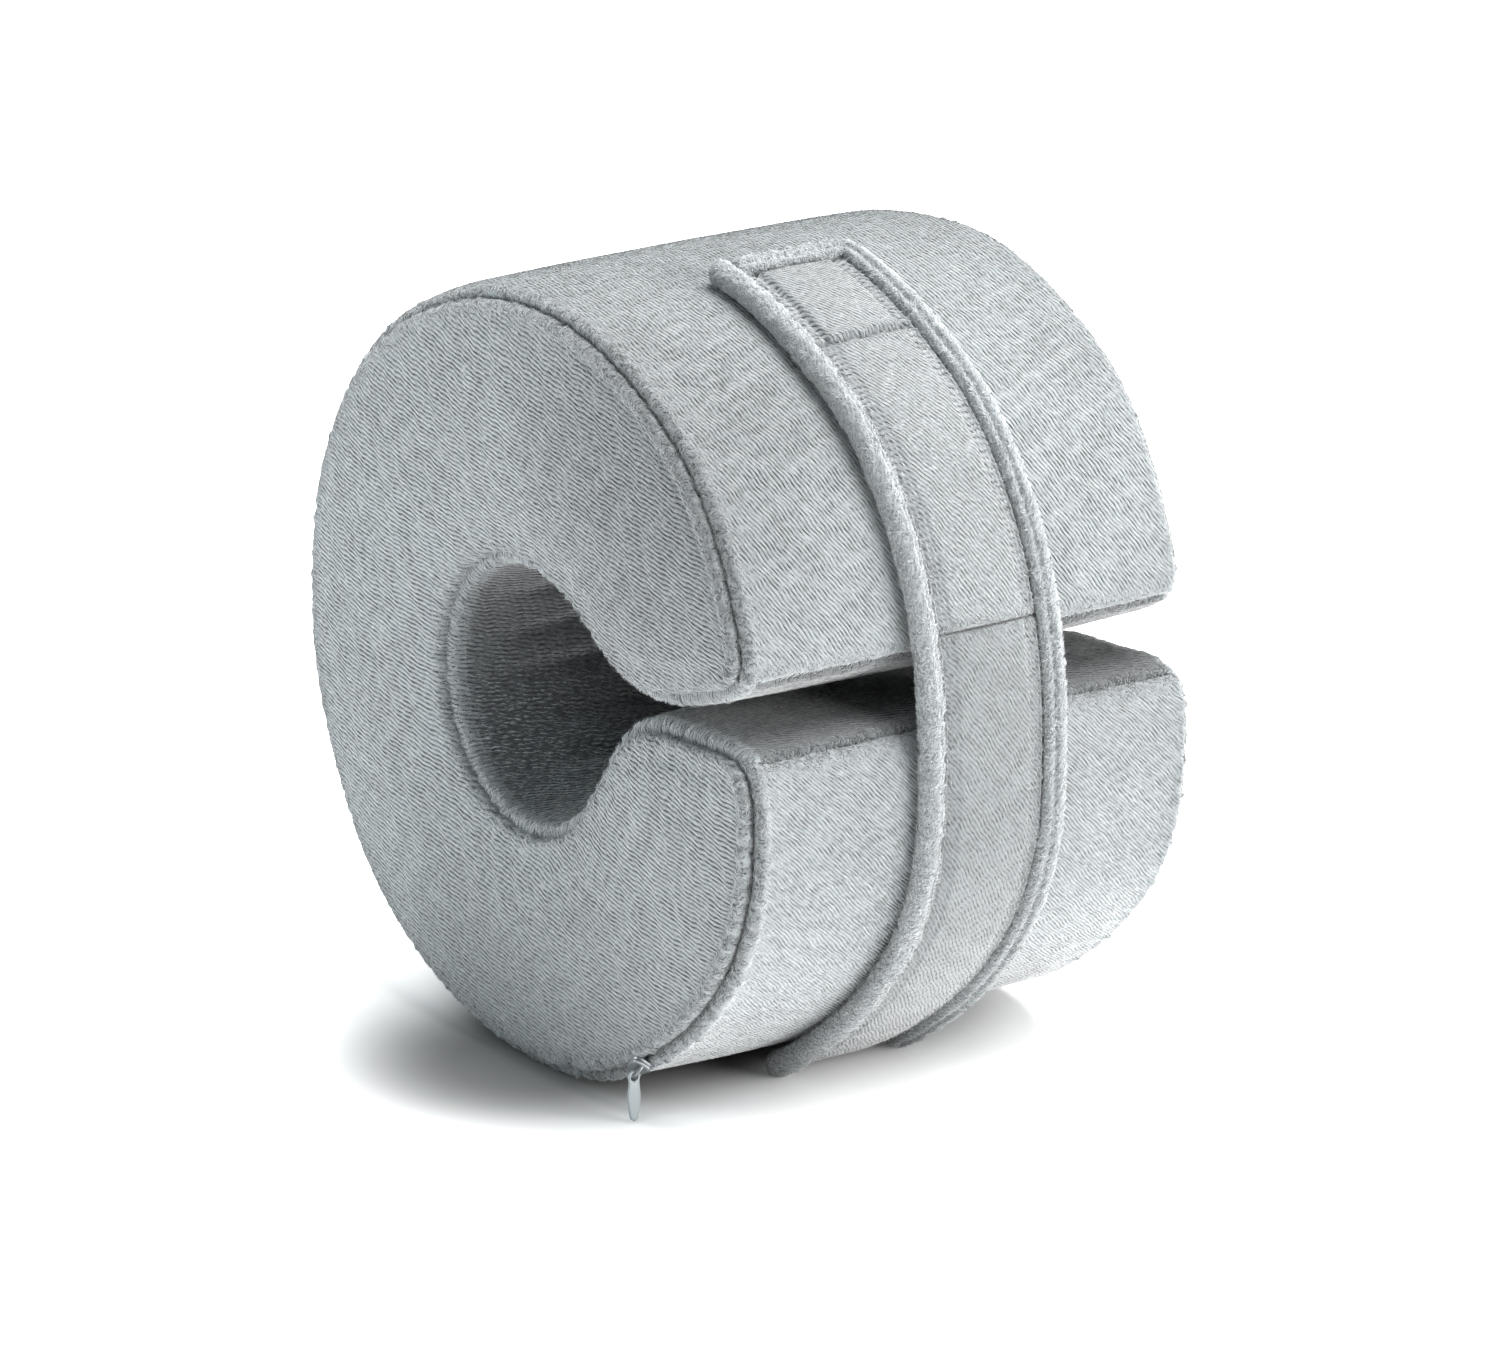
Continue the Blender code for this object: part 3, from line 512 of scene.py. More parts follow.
def tuft_place(run, across, tuft, sine, whole):
    """Where a place on the nap map lies among tufts of the given length and pitch, which stand in swaying
    rows: its row, its tuft in that row, how far it is from the row's middle (-1 to 1), and how deep it lies
    in the crease beside the row (0 to 1)."""
    length, pitch = tuft
    sway = ROW_SWAY * sine(run / SWAY_RUN + SWAY_TURN * sine(across / SWAY_ACROSS)) + ROW_SHAKE * sine(
        run / SHAKE_RUN + across / SHAKE_ACROSS)
    swayed = across / pitch + sway
    row = whole(swayed)
    shifted = run / length + ROW_SHIFT * sine(ROW_DRAW * row * row) + TUFT_DRIFT * sine(
        across / DRIFT_ACROSS + run / DRIFT_RUN)
    column = whole(shifted)
    deep = 0.5 + 0.5 * sine(DEEP_ROW * row * row + DEEP_COLUMN * column * column)
    aside = (swayed - row) * 2.0 - 1.0
    middle = CREASE_ENDS + CREASE_MIDDLE * sine((shifted - column) * math.pi)
    return row, column, aside, abs(aside) ** CREASE_POWER * middle * (SHALLOWEST + DEEPER * deep)


def closeness(start, centre, inner, outer):
    """1 within the inner distance of a place, falling to 0 at the outer one."""
    place = start.node("ShaderNodeNewGeometry")
    away = start.node("ShaderNodeVectorMath", {"operation": "DISTANCE"}, {0: place, 1: centre}, output=1)
    return 1.0 - away.clamped(inner, outer)


PAINTED_SHADE_PATCH = (0.066, -0.072, 0.197), 0.020, 0.085  # where the pile is painted darker as shade: centre, inner and outer reach
PAINTED_SHADE_CHANGE = -0.40
CURL_SCALE, CURL_EDGE, CURL_SHADE = 480.0, 9.0, 0.6  # dark loops where the pile is ruffled, sunk in the bump and painted darker as shade
WEAR_SCALE, KNIT_WEAR = 24.0, 0.4  # patches that are a little worn
TUFT_GAIN, TUFT_LESS = 1.25, 0.35
PLUSH_FINISH = {"Roughness": 0.9, "Specular IOR Level": 0.15, "Sheen Weight": 0.4, "Sheen Roughness": 0.5}


def plush(name, colour, shade, tuft, depth):
    """The knit under the pile: rows of tufts of the given length and pitch along the nap map, with a crease
    between the rows and dark loops where the pile is ruffled, both sunk in the bump and painted darker as shade,
    one patch painted darker as shade, and patches that are a little worn."""
    look, shader, start = new_look(name, PLUSH_FINISH)
    place = start.node("ShaderNodeNewGeometry")
    nap = start.node("ShaderNodeUVMap", {"uv_map": "nap"})
    run = start.node("ShaderNodeSeparateXYZ", None, {"Vector": nap})
    crease = tuft_place(run, run.also(1), tuft, Wire.sine, Wire.whole)[3]
    ruffled = start.node("ShaderNodeAttribute", {"attribute_name": "ruffle"}, output=2)
    curls = {"Vector": place, "Scale": CURL_SCALE, "Detail": 1.0, "Distortion": 0.8}
    curls = start.node("ShaderNodeTexNoise", None, curls)
    curled = 1.0 - (abs(curls - 0.5) * CURL_EDGE).clamped(0.0, 1.0)
    # painted shade: the crease and the loops lower the height, which darkens the colour as well as the bump
    height = 1.0 - crease * (1.0 - ruffled) - CURL_SHADE * curled * ruffled
    worn = start.node("ShaderNodeTexNoise", None, {"Vector": place, "Scale": WEAR_SCALE, "Detail": 2.0})
    # painted shade: the tone is darker over one patch of the zipped face's upper lobe, towards the slit
    painted_shade_factor = 1.0 + PAINTED_SHADE_CHANGE * closeness(start, *PAINTED_SHADE_PATCH)
    tone = (height * TUFT_GAIN - TUFT_LESS) * painted_shade_factor + (worn - 0.5) * KNIT_WEAR
    tone.between(shade, colour).feeds(shader, "Base Color")
    bumped = start.node("ShaderNodeBump", None, {"Strength": 1.0, "Distance": depth, "Height": height})
    bumped.feeds(shader, "Normal")
    return look


COVER_TUFT = 3.4 * MM, 1.38 * MM  # length along the nap, and pitch across it
COVER_COLOUR, COVER_SHADE, COVER_NAP_DEPTH = (0.225, 0.250, 0.261), (0.020, 0.023, 0.025), 1.3 * MM
# painted shade: the lining is the cover's plush, painted darker for the shade inside the hole
LINING_PAINTED_SHADE_COLOUR, LINING_SHADE, LINING_NAP_DEPTH = (0.10, 0.111, 0.117), (0.02, 0.0225, 0.024), 0.9 * MM
cover_look = plush("cover_plush", COVER_COLOUR, COVER_SHADE, COVER_TUFT, COVER_NAP_DEPTH)
lining_look_painted_shade = plush("lining_plush_painted_shade", LINING_PAINTED_SHADE_COLOUR, LINING_SHADE, COVER_TUFT, LINING_NAP_DEPTH)
cover.data.materials.append(cover_look)
cover.data.materials.append(lining_look_painted_shade)
cover.data.polygons.foreach_set("material_index", (cover_panel == LINING_PANEL).astype(np.int32))
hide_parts("cushion")
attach(cover, "root")

# The cushion's pile is short polyester fibres, each a thin blade, that stand out of the cover's knit. They are
# brushed over along the nap, a little astray, so that seams, lips and outline look soft.
BLADE_LEAST, BLADE_MORE = 0.65, 0.7  # a blade's least share of the given length, and what chance adds to it
HALF_LEAST, HALF_MORE = 0.35, 0.3  # the same for half its width at the root
BLADE_ROLL, ROOT_SUNK = 0.22, 0.05 * MM
TUFT_STRAY, TUFT_GATHER, GATHER_TURN = 0.4, 0.5, 0.9  # how blades turn towards the middle of their tuft
TILT_LEAST, TILT_LESS, TILT_CHANCE = 1.4, 1.1, 0.3  # how they stand up, less so in a crease
CURL_SIZE, CURL_TURN = 1.4 * MM, 3.4  # curls where the pile is ruffled, and their turn in radians
CURL_SHORT, CURL_STRAY, CURL_TILT = 0.50, 0.40, 9  # blades there are shorter, stray more and stand up more
CHANCES, TUFT_DRAW, CURL_DRAW = 4096, (7919, 104729), (3571, 48611)
TIP_TONE, TIP_CHANCE = 0.80, 0.20
CURL_TONE, CURL_TONE_MORE, CURL_TONE_CHANCE = 0.38, 0.55, 0.20
CREASE_TONE, FOOT_TONE, CURL_FOOT_TONE = 0.97, 0.62, 0.30  # painted shade: blades are darker in a crease and at the foot, where shade falls


def blades(name, skin, weight, number, seed, length, width, tuft, lean, stray):
    """Fibres spread over the skin's faces by area and weight. They are gathered in tufts of the given length
    and pitch along the nap, with creases between the rows, where the blades are painted darker as shade, and
    each blade is painted darker at its foot. Each leans out of the nap by so many degrees and strays sideways by
    chance, more so where the pile is ruffled."""
    points, quads, nap, ruffle = skin
    random = np.random.default_rng(seed)
    corners = points[quads]
    du, dv = nap[:, 1] - nap[:, 0], nap[:, 3] - nap[:, 0]
    dp, dq = corners[:, 1] - corners[:, 0], corners[:, 3] - corners[:, 0]
    twist = du[:, 0] * dv[:, 1] - du[:, 1] * dv[:, 0]
    twist = np.where(np.abs(twist) < 1e-12, 1e-12, twist)
    brushed = dp * (dv[:, 1] / twist)[:, None] - dq * (du[:, 1] / twist)[:, None]
    sideways = dq * (du[:, 0] / twist)[:, None] - dp * (dv[:, 0] / twist)[:, None]
    across = np.cross(corners[:, 2] - corners[:, 0], corners[:, 3] - corners[:, 1])
    vertex_up = np.zeros_like(points)
    for n in range(4):
        np.add.at(vertex_up, quads[:, n], across)
    vertex_up /= np.linalg.norm(vertex_up, axis=1)[:, None] + 1e-14
    share = np.cumsum(np.linalg.norm(across, axis=1) * weight)
    chosen = np.searchsorted(share, random.random(number) * share[-1])
    a, b = random.random((2, number, 1))
    four = quads[chosen]

    def blend(values):
        low = values[:, 0] * (1 - a) + values[:, 1] * a
        high = values[:, 3] * (1 - a) + values[:, 2] * a
        return low * (1 - b) + high * b

    root, normal, place = blend(points[four]), blend(vertex_up[four]), blend(nap[chosen])
    normal /= np.linalg.norm(normal, axis=1)[:, None] + 1e-12
    loose = blend(ruffle[four][..., None])

    def along_surface(way):
        way = way - normal * np.einsum("ij,ij->i", way, normal)[:, None]
        return way / (np.linalg.norm(way, axis=1)[:, None] + 1e-12)

    tangent, aside = along_surface(brushed[chosen]), along_surface(sideways[chosen])
    chance = random.random((CHANCES, 3))
    row, column, off_middle, crease = tuft_place(place[:, 0], place[:, 1], tuft, np.sin, np.floor)
    drawn = chance[(row.astype(int) * TUFT_DRAW[0] + column.astype(int) * TUFT_DRAW[1]) % CHANCES]
    gathered = (TUFT_STRAY * (drawn[:, 0] - 0.5) - TUFT_GATHER * off_middle)[:, None] * tuft[1]
    crease = crease[:, None] * (1 - loose)
    curl_cell = np.floor(place / CURL_SIZE).astype(int)
    curl = chance[(curl_cell[:, 0] * CURL_DRAW[0] + curl_cell[:, 1] * CURL_DRAW[1]) % CHANCES]
    reach = length * (BLADE_LEAST + BLADE_MORE * random.random((number, 1))) * (1 - CURL_SHORT * loose)
    swing = random.normal(0, 1, (number, 1)) * (stray + CURL_STRAY * loose)
    swing = swing + CURL_TURN * (curl[:, 0:1] - 0.5) * loose
    way = tangent * np.cos(swing) + aside * (np.sin(swing) + GATHER_TURN * gathered / length * (1 - loose))
    way /= np.linalg.norm(way, axis=1)[:, None]
    tilt = np.radians(lean + CURL_TILT * loose * curl[:, 1:2])
    tilt = tilt * (TILT_LEAST - TILT_LESS * crease + TILT_CHANCE * random.normal(0, 1, (number, 1)))
    way = way * np.cos(tilt) + normal * np.sin(tilt)
    flat = np.cross(way, normal)
    flat /= np.linalg.norm(flat, axis=1)[:, None] + 1e-12
    roll = random.normal(0, BLADE_ROLL, (number, 1))
    flat = flat * np.cos(roll) + np.cross(way, flat) * np.sin(roll)
    half = width * (HALF_LEAST + HALF_MORE * random.random((number, 1)))
    root = root - normal * ROOT_SUNK
    tips = root + way * reach
    root[:, 2] = np.maximum(root[:, 2], 0.0)
    verts = np.stack([root - flat * half, root + flat * half, tips], 1).reshape(-1, 3)
    verts[:, 2] = np.maximum(verts[:, 2], 0.0)
    curly = CURL_TONE + CURL_TONE_MORE * curl[:, 2:3] + CURL_TONE_CHANCE * random.random((number, 1))
    tip = (TIP_TONE + TIP_CHANCE * drawn[:, 1:2]) * (1 - loose) + loose * curly
    # painted shade: blades are darker in a crease, and darker still at their foot
    tip = tip * (1 - CREASE_TONE * crease)
    foot = tip * (FOOT_TONE - CURL_FOOT_TONE * loose)
    tone = np.concatenate([foot, foot, tip], 1).ravel()
    triangles = np.arange(number * 3).reshape(-1, 3)
    return mesh_object(name, verts, triangles, np.zeros((number * 3, 2)), tone=tone)


PILE_FINISH = {"Roughness": 0.8, "Specular IOR Level": 0.2, "Sheen Weight": 0.8, "Sheen Roughness": 0.6}
PILE_WEAR = 0.25


def pile_look(name, colour, shade, patch=PAINTED_SHADE_PATCH, change=PAINTED_SHADE_CHANGE, level=1.0):
    """A fibre's colour, painted darker at its root than at its tip as shade. The level scales the tone
    everywhere, and in one patch all fibres are painted darker as shade or lighter as light, as the change says.
    """
    look, shader, start = new_look(name, PILE_FINISH)
    tone = start.node("ShaderNodeAttribute", {"attribute_name": "tone"}, output=2)
    place = start.node("ShaderNodeNewGeometry")
    worn = start.node("ShaderNodeTexNoise", None, {"Vector": place, "Scale": WEAR_SCALE, "Detail": 3.0})
    tone = tone * (level + change * closeness(start, *patch)) + (worn - 0.5) * PILE_WEAR
    tone.between(shade, colour).feeds(shader, "Base Color")
    return look


PILE_COLOUR, PILE_SHADE = (0.325, 0.358, 0.370), (0.015, 0.017, 0.0185)
LINING_PILE_COLOUR, LINING_PILE_SHADE = (0.50, 0.55, 0.568), (0.012, 0.0135, 0.0145)
LIT_LINING = (-0.014, -0.065, 0.077), 0.018, 0.070  # where the lining's pile is painted lighter, as painted light: centre, inner and outer reach
# painted shade and painted light: the lining's pile is painted dark all over for the shade in the hole, and
# lighter in that patch
LIT_CHANGE, LINING_PAINTED_SHADE_LEVEL = 0.9, 0.17
SEAM_MORE, SEAM_BARE = 1.6, 0.92  # more fibres stand beside a seam, and few in its groove
cushion_pile = pile_look("cushion_pile", PILE_COLOUR, PILE_SHADE)
lining_pile = pile_look(
    "lining_pile", LINING_PILE_COLOUR, LINING_PILE_SHADE, LIT_LINING, LIT_CHANGE, LINING_PAINTED_SHADE_LEVEL
)
skin = (cover_points, cover_quads, cover_nap, cover_ruffle)
depth = cover_points[cover_quads][:, :, 1].mean(1)
thick = 1 + SEAM_MORE * cover_ruffle[cover_quads].mean(1)
thick = thick * (1 - SEAM_BARE * cover_bare[cover_quads].mean(1))
for name, panel_number, depth_side, number, seed in (
    ("face_pile", FACE_PANEL, 0, 180000, 11),
    ("band_pile_front", BAND_PANEL, -1, 130000, 12),
    ("band_pile_back", BAND_PANEL, 1, 130000, 14),
    ("lining_pile", LINING_PANEL, 0, 60000, 13),
):
    weight = thick * (cover_panel == panel_number)
    if depth_side:
        weight = weight * (depth * depth_side > 0)
    pile = blades(name, skin, weight, number, seed, length=2.1 * MM, width=0.30 * MM, tuft=COVER_TUFT,
                  lean=5.0, stray=0.05)
    pile.data.materials.append(lining_pile if name == "lining_pile" else cushion_pile)
    pile.parent = cover

# The strap is two straight panels of the same plush, lightly padded and joined end to end, that lie round the
# band across the slit. The upper one is sewn down with a box of stitches at its top, and rows of stitching run
# along the sides of both.
STRAP_TOP, STRAP_END, STRAP_SEAM = 80.5, -67.0, 16.2  # degrees above +X
# How far the strap's middle wanders to one side: degrees, millimetres
STRAP_DRIFT = ((-66, -2.2), (-45, -1.4), (-20, 1.0), (5, 2.3), (22, 2.4), (40, 0.4), (60, -1.8), (82, -2.5))
SEWING_GAP = 0.35 * MM
PANEL_HALF, PANEL_HEIGHT, PANEL_SWELL = 18.5 * MM, 4.8 * MM, 0.8 * MM
BINDING_WIDTH, BINDING_HEIGHT = 7.3 * MM, 8.0 * MM
END_LIFT, LIFT_FROM, LIFT_CURVE = 2.2 * MM, -38.0, 1.5
PIECE_GAP = 0.2  # degrees
PANEL_STEP = 0.85 * MM
PANEL_ROUND = 1.9 * MM  # how a panel's edges and ends are rounded
FLAT_POINTS, ROUND_POINTS = 47, 6
FOOT_IN, FOOT_SHARE = 0.6 * MM, 0.25  # how a panel's edges turn under it
PADDING_RISE, PADDING_WAVE, PADDING_SLANT = 0.30 * MM, 17 * MM, 0.4
# Rows beside each binding: in from the edge, depth and half-width in millimetres
FOLD_ROWS = ((1.8, 1.1, 0.45), (3.3, 1.0, 0.40), (4.9, 0.7, 0.40))
ROW_WOBBLE, ROW_WAVE, ROW_BARE = 0.25 * MM, 11 * MM, 0.85
BOX_FROM, BOX_TO, BOX_IN, BOX_SOFT = 59.5, 77.0, 4.6 * MM, 3  # degrees, inset, how sharply its sides end
BOX_WOBBLE, BOX_WAVE, BOX_CLEAR, BOX_SWELL = 0.35 * MM, 9 * MM, 1.5 * MM, 0.5 * MM
STITCH_DEEP, STITCH_HALF, STITCH_PITCH = 2.1 * MM, 0.75 * MM, 2.8 * MM
STITCH_LEAST, STITCH_DIPS, SIDE_STITCH = 0.78, 0.22, 0.8  # dips at each stitch, shallower at the sides
BEAD_RISE, BEAD_AT, BEAD_HALF = 0.7 * MM, 2.3 * MM, 1.3 * MM  # the cloth that the box's lower row pushes up
EDGE_RUFFLE, EDGE_REACH = 0.45, 3.5 * MM
ROW_RUFFLE, ROW_REACH = 0.3, 2.2 * MM
END_RUFFLE, END_REACH = 0.7, 3.2 * MM
END_NARROW = 0.02
STRAP_NAP_TURN = 1.36  # how far the nap falls down the strap for each step across it
DEGREES_PER_METRE = 180 / math.pi / float(band_radius(90.0))


def strap_places(degrees, y, height):
    """Points of the strap, with height out from the cushion, which its lower end stands off."""
    lift = END_LIFT * np.clip((LIFT_FROM - degrees) / (LIFT_FROM - STRAP_END), 0, 1) ** LIFT_CURVE
    radius = band_radius(degrees) - SIDE_DRAW * (y / FACE_DEPTH) ** 2 + SEWING_GAP + lift + height
    turned = np.radians(degrees)
    up = np.maximum(radius * np.sin(turned) + AXIS_HEIGHT, 0.0)
    return np.stack([radius * np.cos(turned), y, up], -1)


def strap_centre(degrees):
    return smooth_table(STRAP_DRIFT, degrees) * MM


def strip_points(line, across, height):
    """Points of sections set square to a line of (degrees, y), with a row of widths and heights for each."""
    flat = np.stack([line[:, 0] / DEGREES_PER_METRE, line[:, 1]], 1)
    heading = np.gradient(flat, axis=0)
    heading /= np.linalg.norm(heading, axis=1)[:, None]
    place = flat[:, None] + np.stack([-heading[:, 1], heading[:, 0]], 1)[:, None] * across[:, :, None]
    return strap_places(place[..., 0] * DEGREES_PER_METRE, place[..., 1], height), place


def tube(name, points, nap, ruffle):
    """A closed mesh through rings of points, and its skin for the pile, which leaves out the two ends."""
    rows, around = points.shape[:2]
    k, i = np.meshgrid(np.arange(rows - 1), np.arange(around), indexing="ij")
    j = (i + 1) % around
    quads = np.stack([k * around + i, k * around + j, (k + 1) * around + j, (k + 1) * around + i], -1)
    quads = quads.reshape(-1, 4)
    flat = points.reshape(-1, 3)
    wrapped = np.concatenate([nap, nap[:, :1]], axis=1)
    corner_nap = np.stack([wrapped[k, i], wrapped[k, i + 1], wrapped[k + 1, i + 1], wrapped[k + 1, i]], -2)
    corner_nap = corner_nap.reshape(-1, 4, 2)
    if volume(flat, quads) < 0:
        quads, corner_nap = quads[:, ::-1], corner_nap[:, ::-1]
    made = mesh_object(name, flat, quads, corner_nap, ruffle=ruffle.ravel())
    shape = bmesh.new()
    shape.from_mesh(made.data)
    bmesh.ops.holes_fill(shape, edges=[e for e in shape.edges if e.is_boundary], sides=0)
    shape.to_mesh(made.data)
    shape.free()
    made.data.shade_smooth()
    return made, (flat, quads, corner_nap, ruffle.ravel())


def end_rounding(run, radius, least_first, least_last):
    """Share of its full height that a piece keeps near its two ends."""
    keep = np.ones(len(run))
    for away, least in ((run, least_first), (run[-1] - run, least_last)):
        close = np.clip(away / radius, 0, 1)
        keep = np.minimum(keep, least + (1 - least) * np.sqrt(np.clip(1 - (1 - close) ** 2, 0, 1)))
    return keep[:, None]


def stitched(place):
    """How deep a row of stitches lies at each place along it."""
    return STITCH_LEAST + STITCH_DIPS * np.cos(2 * math.pi * place / STITCH_PITCH)


def strap_panel(name, low, high, ends, seed):
    """A panel of the strap between two angles, its skin, and how bare of pile each of its points is."""
    degrees = np.linspace(low, high, int((high - low) / DEGREES_PER_METRE / PANEL_STEP))
    line = np.stack([degrees, strap_centre(degrees)], 1)
    side = PANEL_HALF - SEWING_GAP
    flat_across = np.linspace(-1, 1, FLAT_POINTS) * (side - PANEL_ROUND)
    turn = np.radians(np.linspace(90, 0, ROUND_POINTS + 1))[1:]
    rounded = side - PANEL_ROUND + PANEL_ROUND * np.cos(turn)
    under = [side, side - FOOT_IN, 0.0, -side + FOOT_IN, -side]
    across = np.concatenate([flat_across, rounded, under, -rounded[::-1]])
    top = PANEL_HEIGHT - PANEL_ROUND * np.concatenate([np.zeros(FLAT_POINTS), 1 - np.sin(turn)])
    foot = np.array([FOOT_SHARE * PANEL_HEIGHT, 0, 0, 0, FOOT_SHARE * PANEL_HEIGHT])
    upper = np.concatenate([np.ones(len(top)), np.zeros(len(foot)), np.ones(ROUND_POINTS)])
    height = np.concatenate([top, foot, top[FLAT_POINTS:][::-1]])
    height = height + PANEL_SWELL * (1 - (across / side) ** 2) * upper
    run = (degrees - low) / DEGREES_PER_METRE
    run_2d, across_2d = np.broadcast_arrays(run[:, None], across[None])
    degrees_2d = np.broadcast_to(degrees[:, None], across_2d.shape)
    swell = 1 - (across_2d / side) ** 2
    relief = PADDING_RISE * ripple(run_2d + PADDING_SLANT * across_2d, PADDING_WAVE, seed) * swell
    bare = np.zeros_like(across_2d)
    for back, deep, half in FOLD_ROWS:
        wobble = ROW_WOBBLE * ripple(run_2d, ROW_WAVE, back + seed)
        row = hill(np.abs(across_2d) - (side - back * MM) + wobble, half * MM)
        relief = relief - deep * MM * row
        bare = np.maximum(bare, ROW_BARE * row)
    from_row = (degrees_2d - BOX_FROM) / DEGREES_PER_METRE + BOX_WOBBLE * ripple(across_2d, BOX_WAVE, 2.0)
    row = hill(from_row, STITCH_HALF) * (side - np.abs(across_2d) > BOX_CLEAR)
    relief = relief - STITCH_DEEP * stitched(across_2d) * row
    relief = relief + BEAD_RISE * hill(np.abs(from_row) - BEAD_AT, BEAD_HALF)
    bare = np.maximum(bare, 1.1 * hill(from_row, 1.3 * STITCH_HALF))
    in_box = np.clip((degrees_2d - BOX_FROM) * BOX_SOFT, 0, 1)
    in_box = in_box * np.clip((BOX_TO - degrees_2d) * BOX_SOFT, 0, 1)
    row = hill(np.abs(across_2d) - (side - BOX_IN), STITCH_HALF) * in_box
    relief = relief - STITCH_DEEP * SIDE_STITCH * stitched(run_2d) * row
    bare = np.maximum(bare, row * stitched(run_2d))
    inside_box = np.clip((side - BOX_IN - np.abs(across_2d)) / MM, 0, 1)
    relief = relief + BOX_SWELL * inside_box * in_box * swell
    ruffle = EDGE_RUFFLE * hill(np.abs(across_2d) - side, EDGE_REACH)
    ruffle = np.maximum(ruffle, ROW_RUFFLE * hill(from_row, ROW_REACH))
    for away in (run_2d, run[-1] - run_2d):
        ruffle = np.maximum(ruffle, END_RUFFLE * hill(away, END_REACH))
    keep = end_rounding(run, PANEL_ROUND, *ends)
    height_2d = (height[None] + relief * upper) * keep
    points, place = strip_points(line, across_2d * (1 - END_NARROW * (1 - keep)), height_2d)
    over, up = place[..., 1], place[..., 0]
    nap = np.stack([over - STRAP_NAP_TURN * up, up + STRAP_NAP_TURN * over], -1)
    nap = nap / math.hypot(1, STRAP_NAP_TURN)
    return *tube(name, points, nap, ruffle), bare.ravel()


STRAP_TUFT = 2.8 * MM, 1.15 * MM
STRAP_COLOUR, STRAP_SHADE, STRAP_NAP_DEPTH = (0.17, 0.185, 0.191), (0.04, 0.044, 0.046), 0.7 * MM
UPPER_PILE_COLOUR, UPPER_PILE_SHADE = (0.33, 0.358, 0.367), (0.05, 0.055, 0.058)
# painted shade: the lower panel is the same plush as the upper, its pile painted darker for the shade it lies in
SHADED_LOWER_PILE_COLOUR, LOWER_PILE_SHADE = (0.165, 0.180, 0.186), (0.03, 0.034, 0.036)
strap_look = plush("strap_plush", STRAP_COLOUR, STRAP_SHADE, STRAP_TUFT, STRAP_NAP_DEPTH)
upper_pile = pile_look("strap_upper_pile", UPPER_PILE_COLOUR, UPPER_PILE_SHADE)
lower_pile_painted_shade = pile_look("strap_lower_pile", SHADED_LOWER_PILE_COLOUR, LOWER_PILE_SHADE)
panel_top = STRAP_TOP - BINDING_WIDTH * DEGREES_PER_METRE - PIECE_GAP
for name, node, low, high, ends, number, seed, pile_colour in (
    ("strap_upper", "strap_panel_upper", STRAP_SEAM, panel_top, (0.72, 0.35), 22000, 21, upper_pile),
    ("strap_lower", "strap_panel_lower", STRAP_END, STRAP_SEAM, (0.30, 0.66), 28000, 22, lower_pile_painted_shade),
):
    made, skin, bare = strap_panel(name, low, high, ends, seed)
    made.data.materials.append(strap_look)
    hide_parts(node)
    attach(made, "root")
    weight = np.clip(1 - bare[skin[1]].mean(1), 0.02, 1)
    pile = blades(name + "_pile", skin, weight, number, seed, length=1.6 * MM, width=0.32 * MM,
                  tuft=STRAP_TUFT, lean=6.0, stray=0.08)
    pile.data.materials.append(pile_colour)
    pile.parent = made

# The strap's bindings are strips of longer, curlier plush rolled over a cord and sewn along both sides of the
# strap. The far one turns the corner and closes the upper end, and the near one runs past it.
CORNER_RADIUS = 3.2 * MM
BINDING_STEP = 0.8 * MM
ROLL_POINTS = 30
ROLL_GROOVE_AT, ROLL_GROOVE_HALF, ROLL_GROOVE_DEEP = math.radians(116), 0.20, 1.2 * MM
ROLL_GROOVE_WAVE, ROLL_GROOVE_VARIES = 5 * MM, 0.35
ROLL_WAVE = 5 * MM
LUMP_RISE, LUMP_SCALE = 0.45 * MM, np.array([1.2, 1.2, 1.0])
CURL_RISE, ROLL_CURL_SCALE, CURL_SEED = 0.38 * MM, np.array([3.0, 3.0, 2.6]), 5.0
ROLL_END, ROLL_END_LEAST = 2.6 * MM, 0.30
WIDEST, HIGHEST = 1.06, 1.08
ROLL_NAP_FALL, ROLL_RUFFLE = 0.5, 0.62
LINE_POINTS, CORNER_STEPS = 200, range(10, 91, 10)


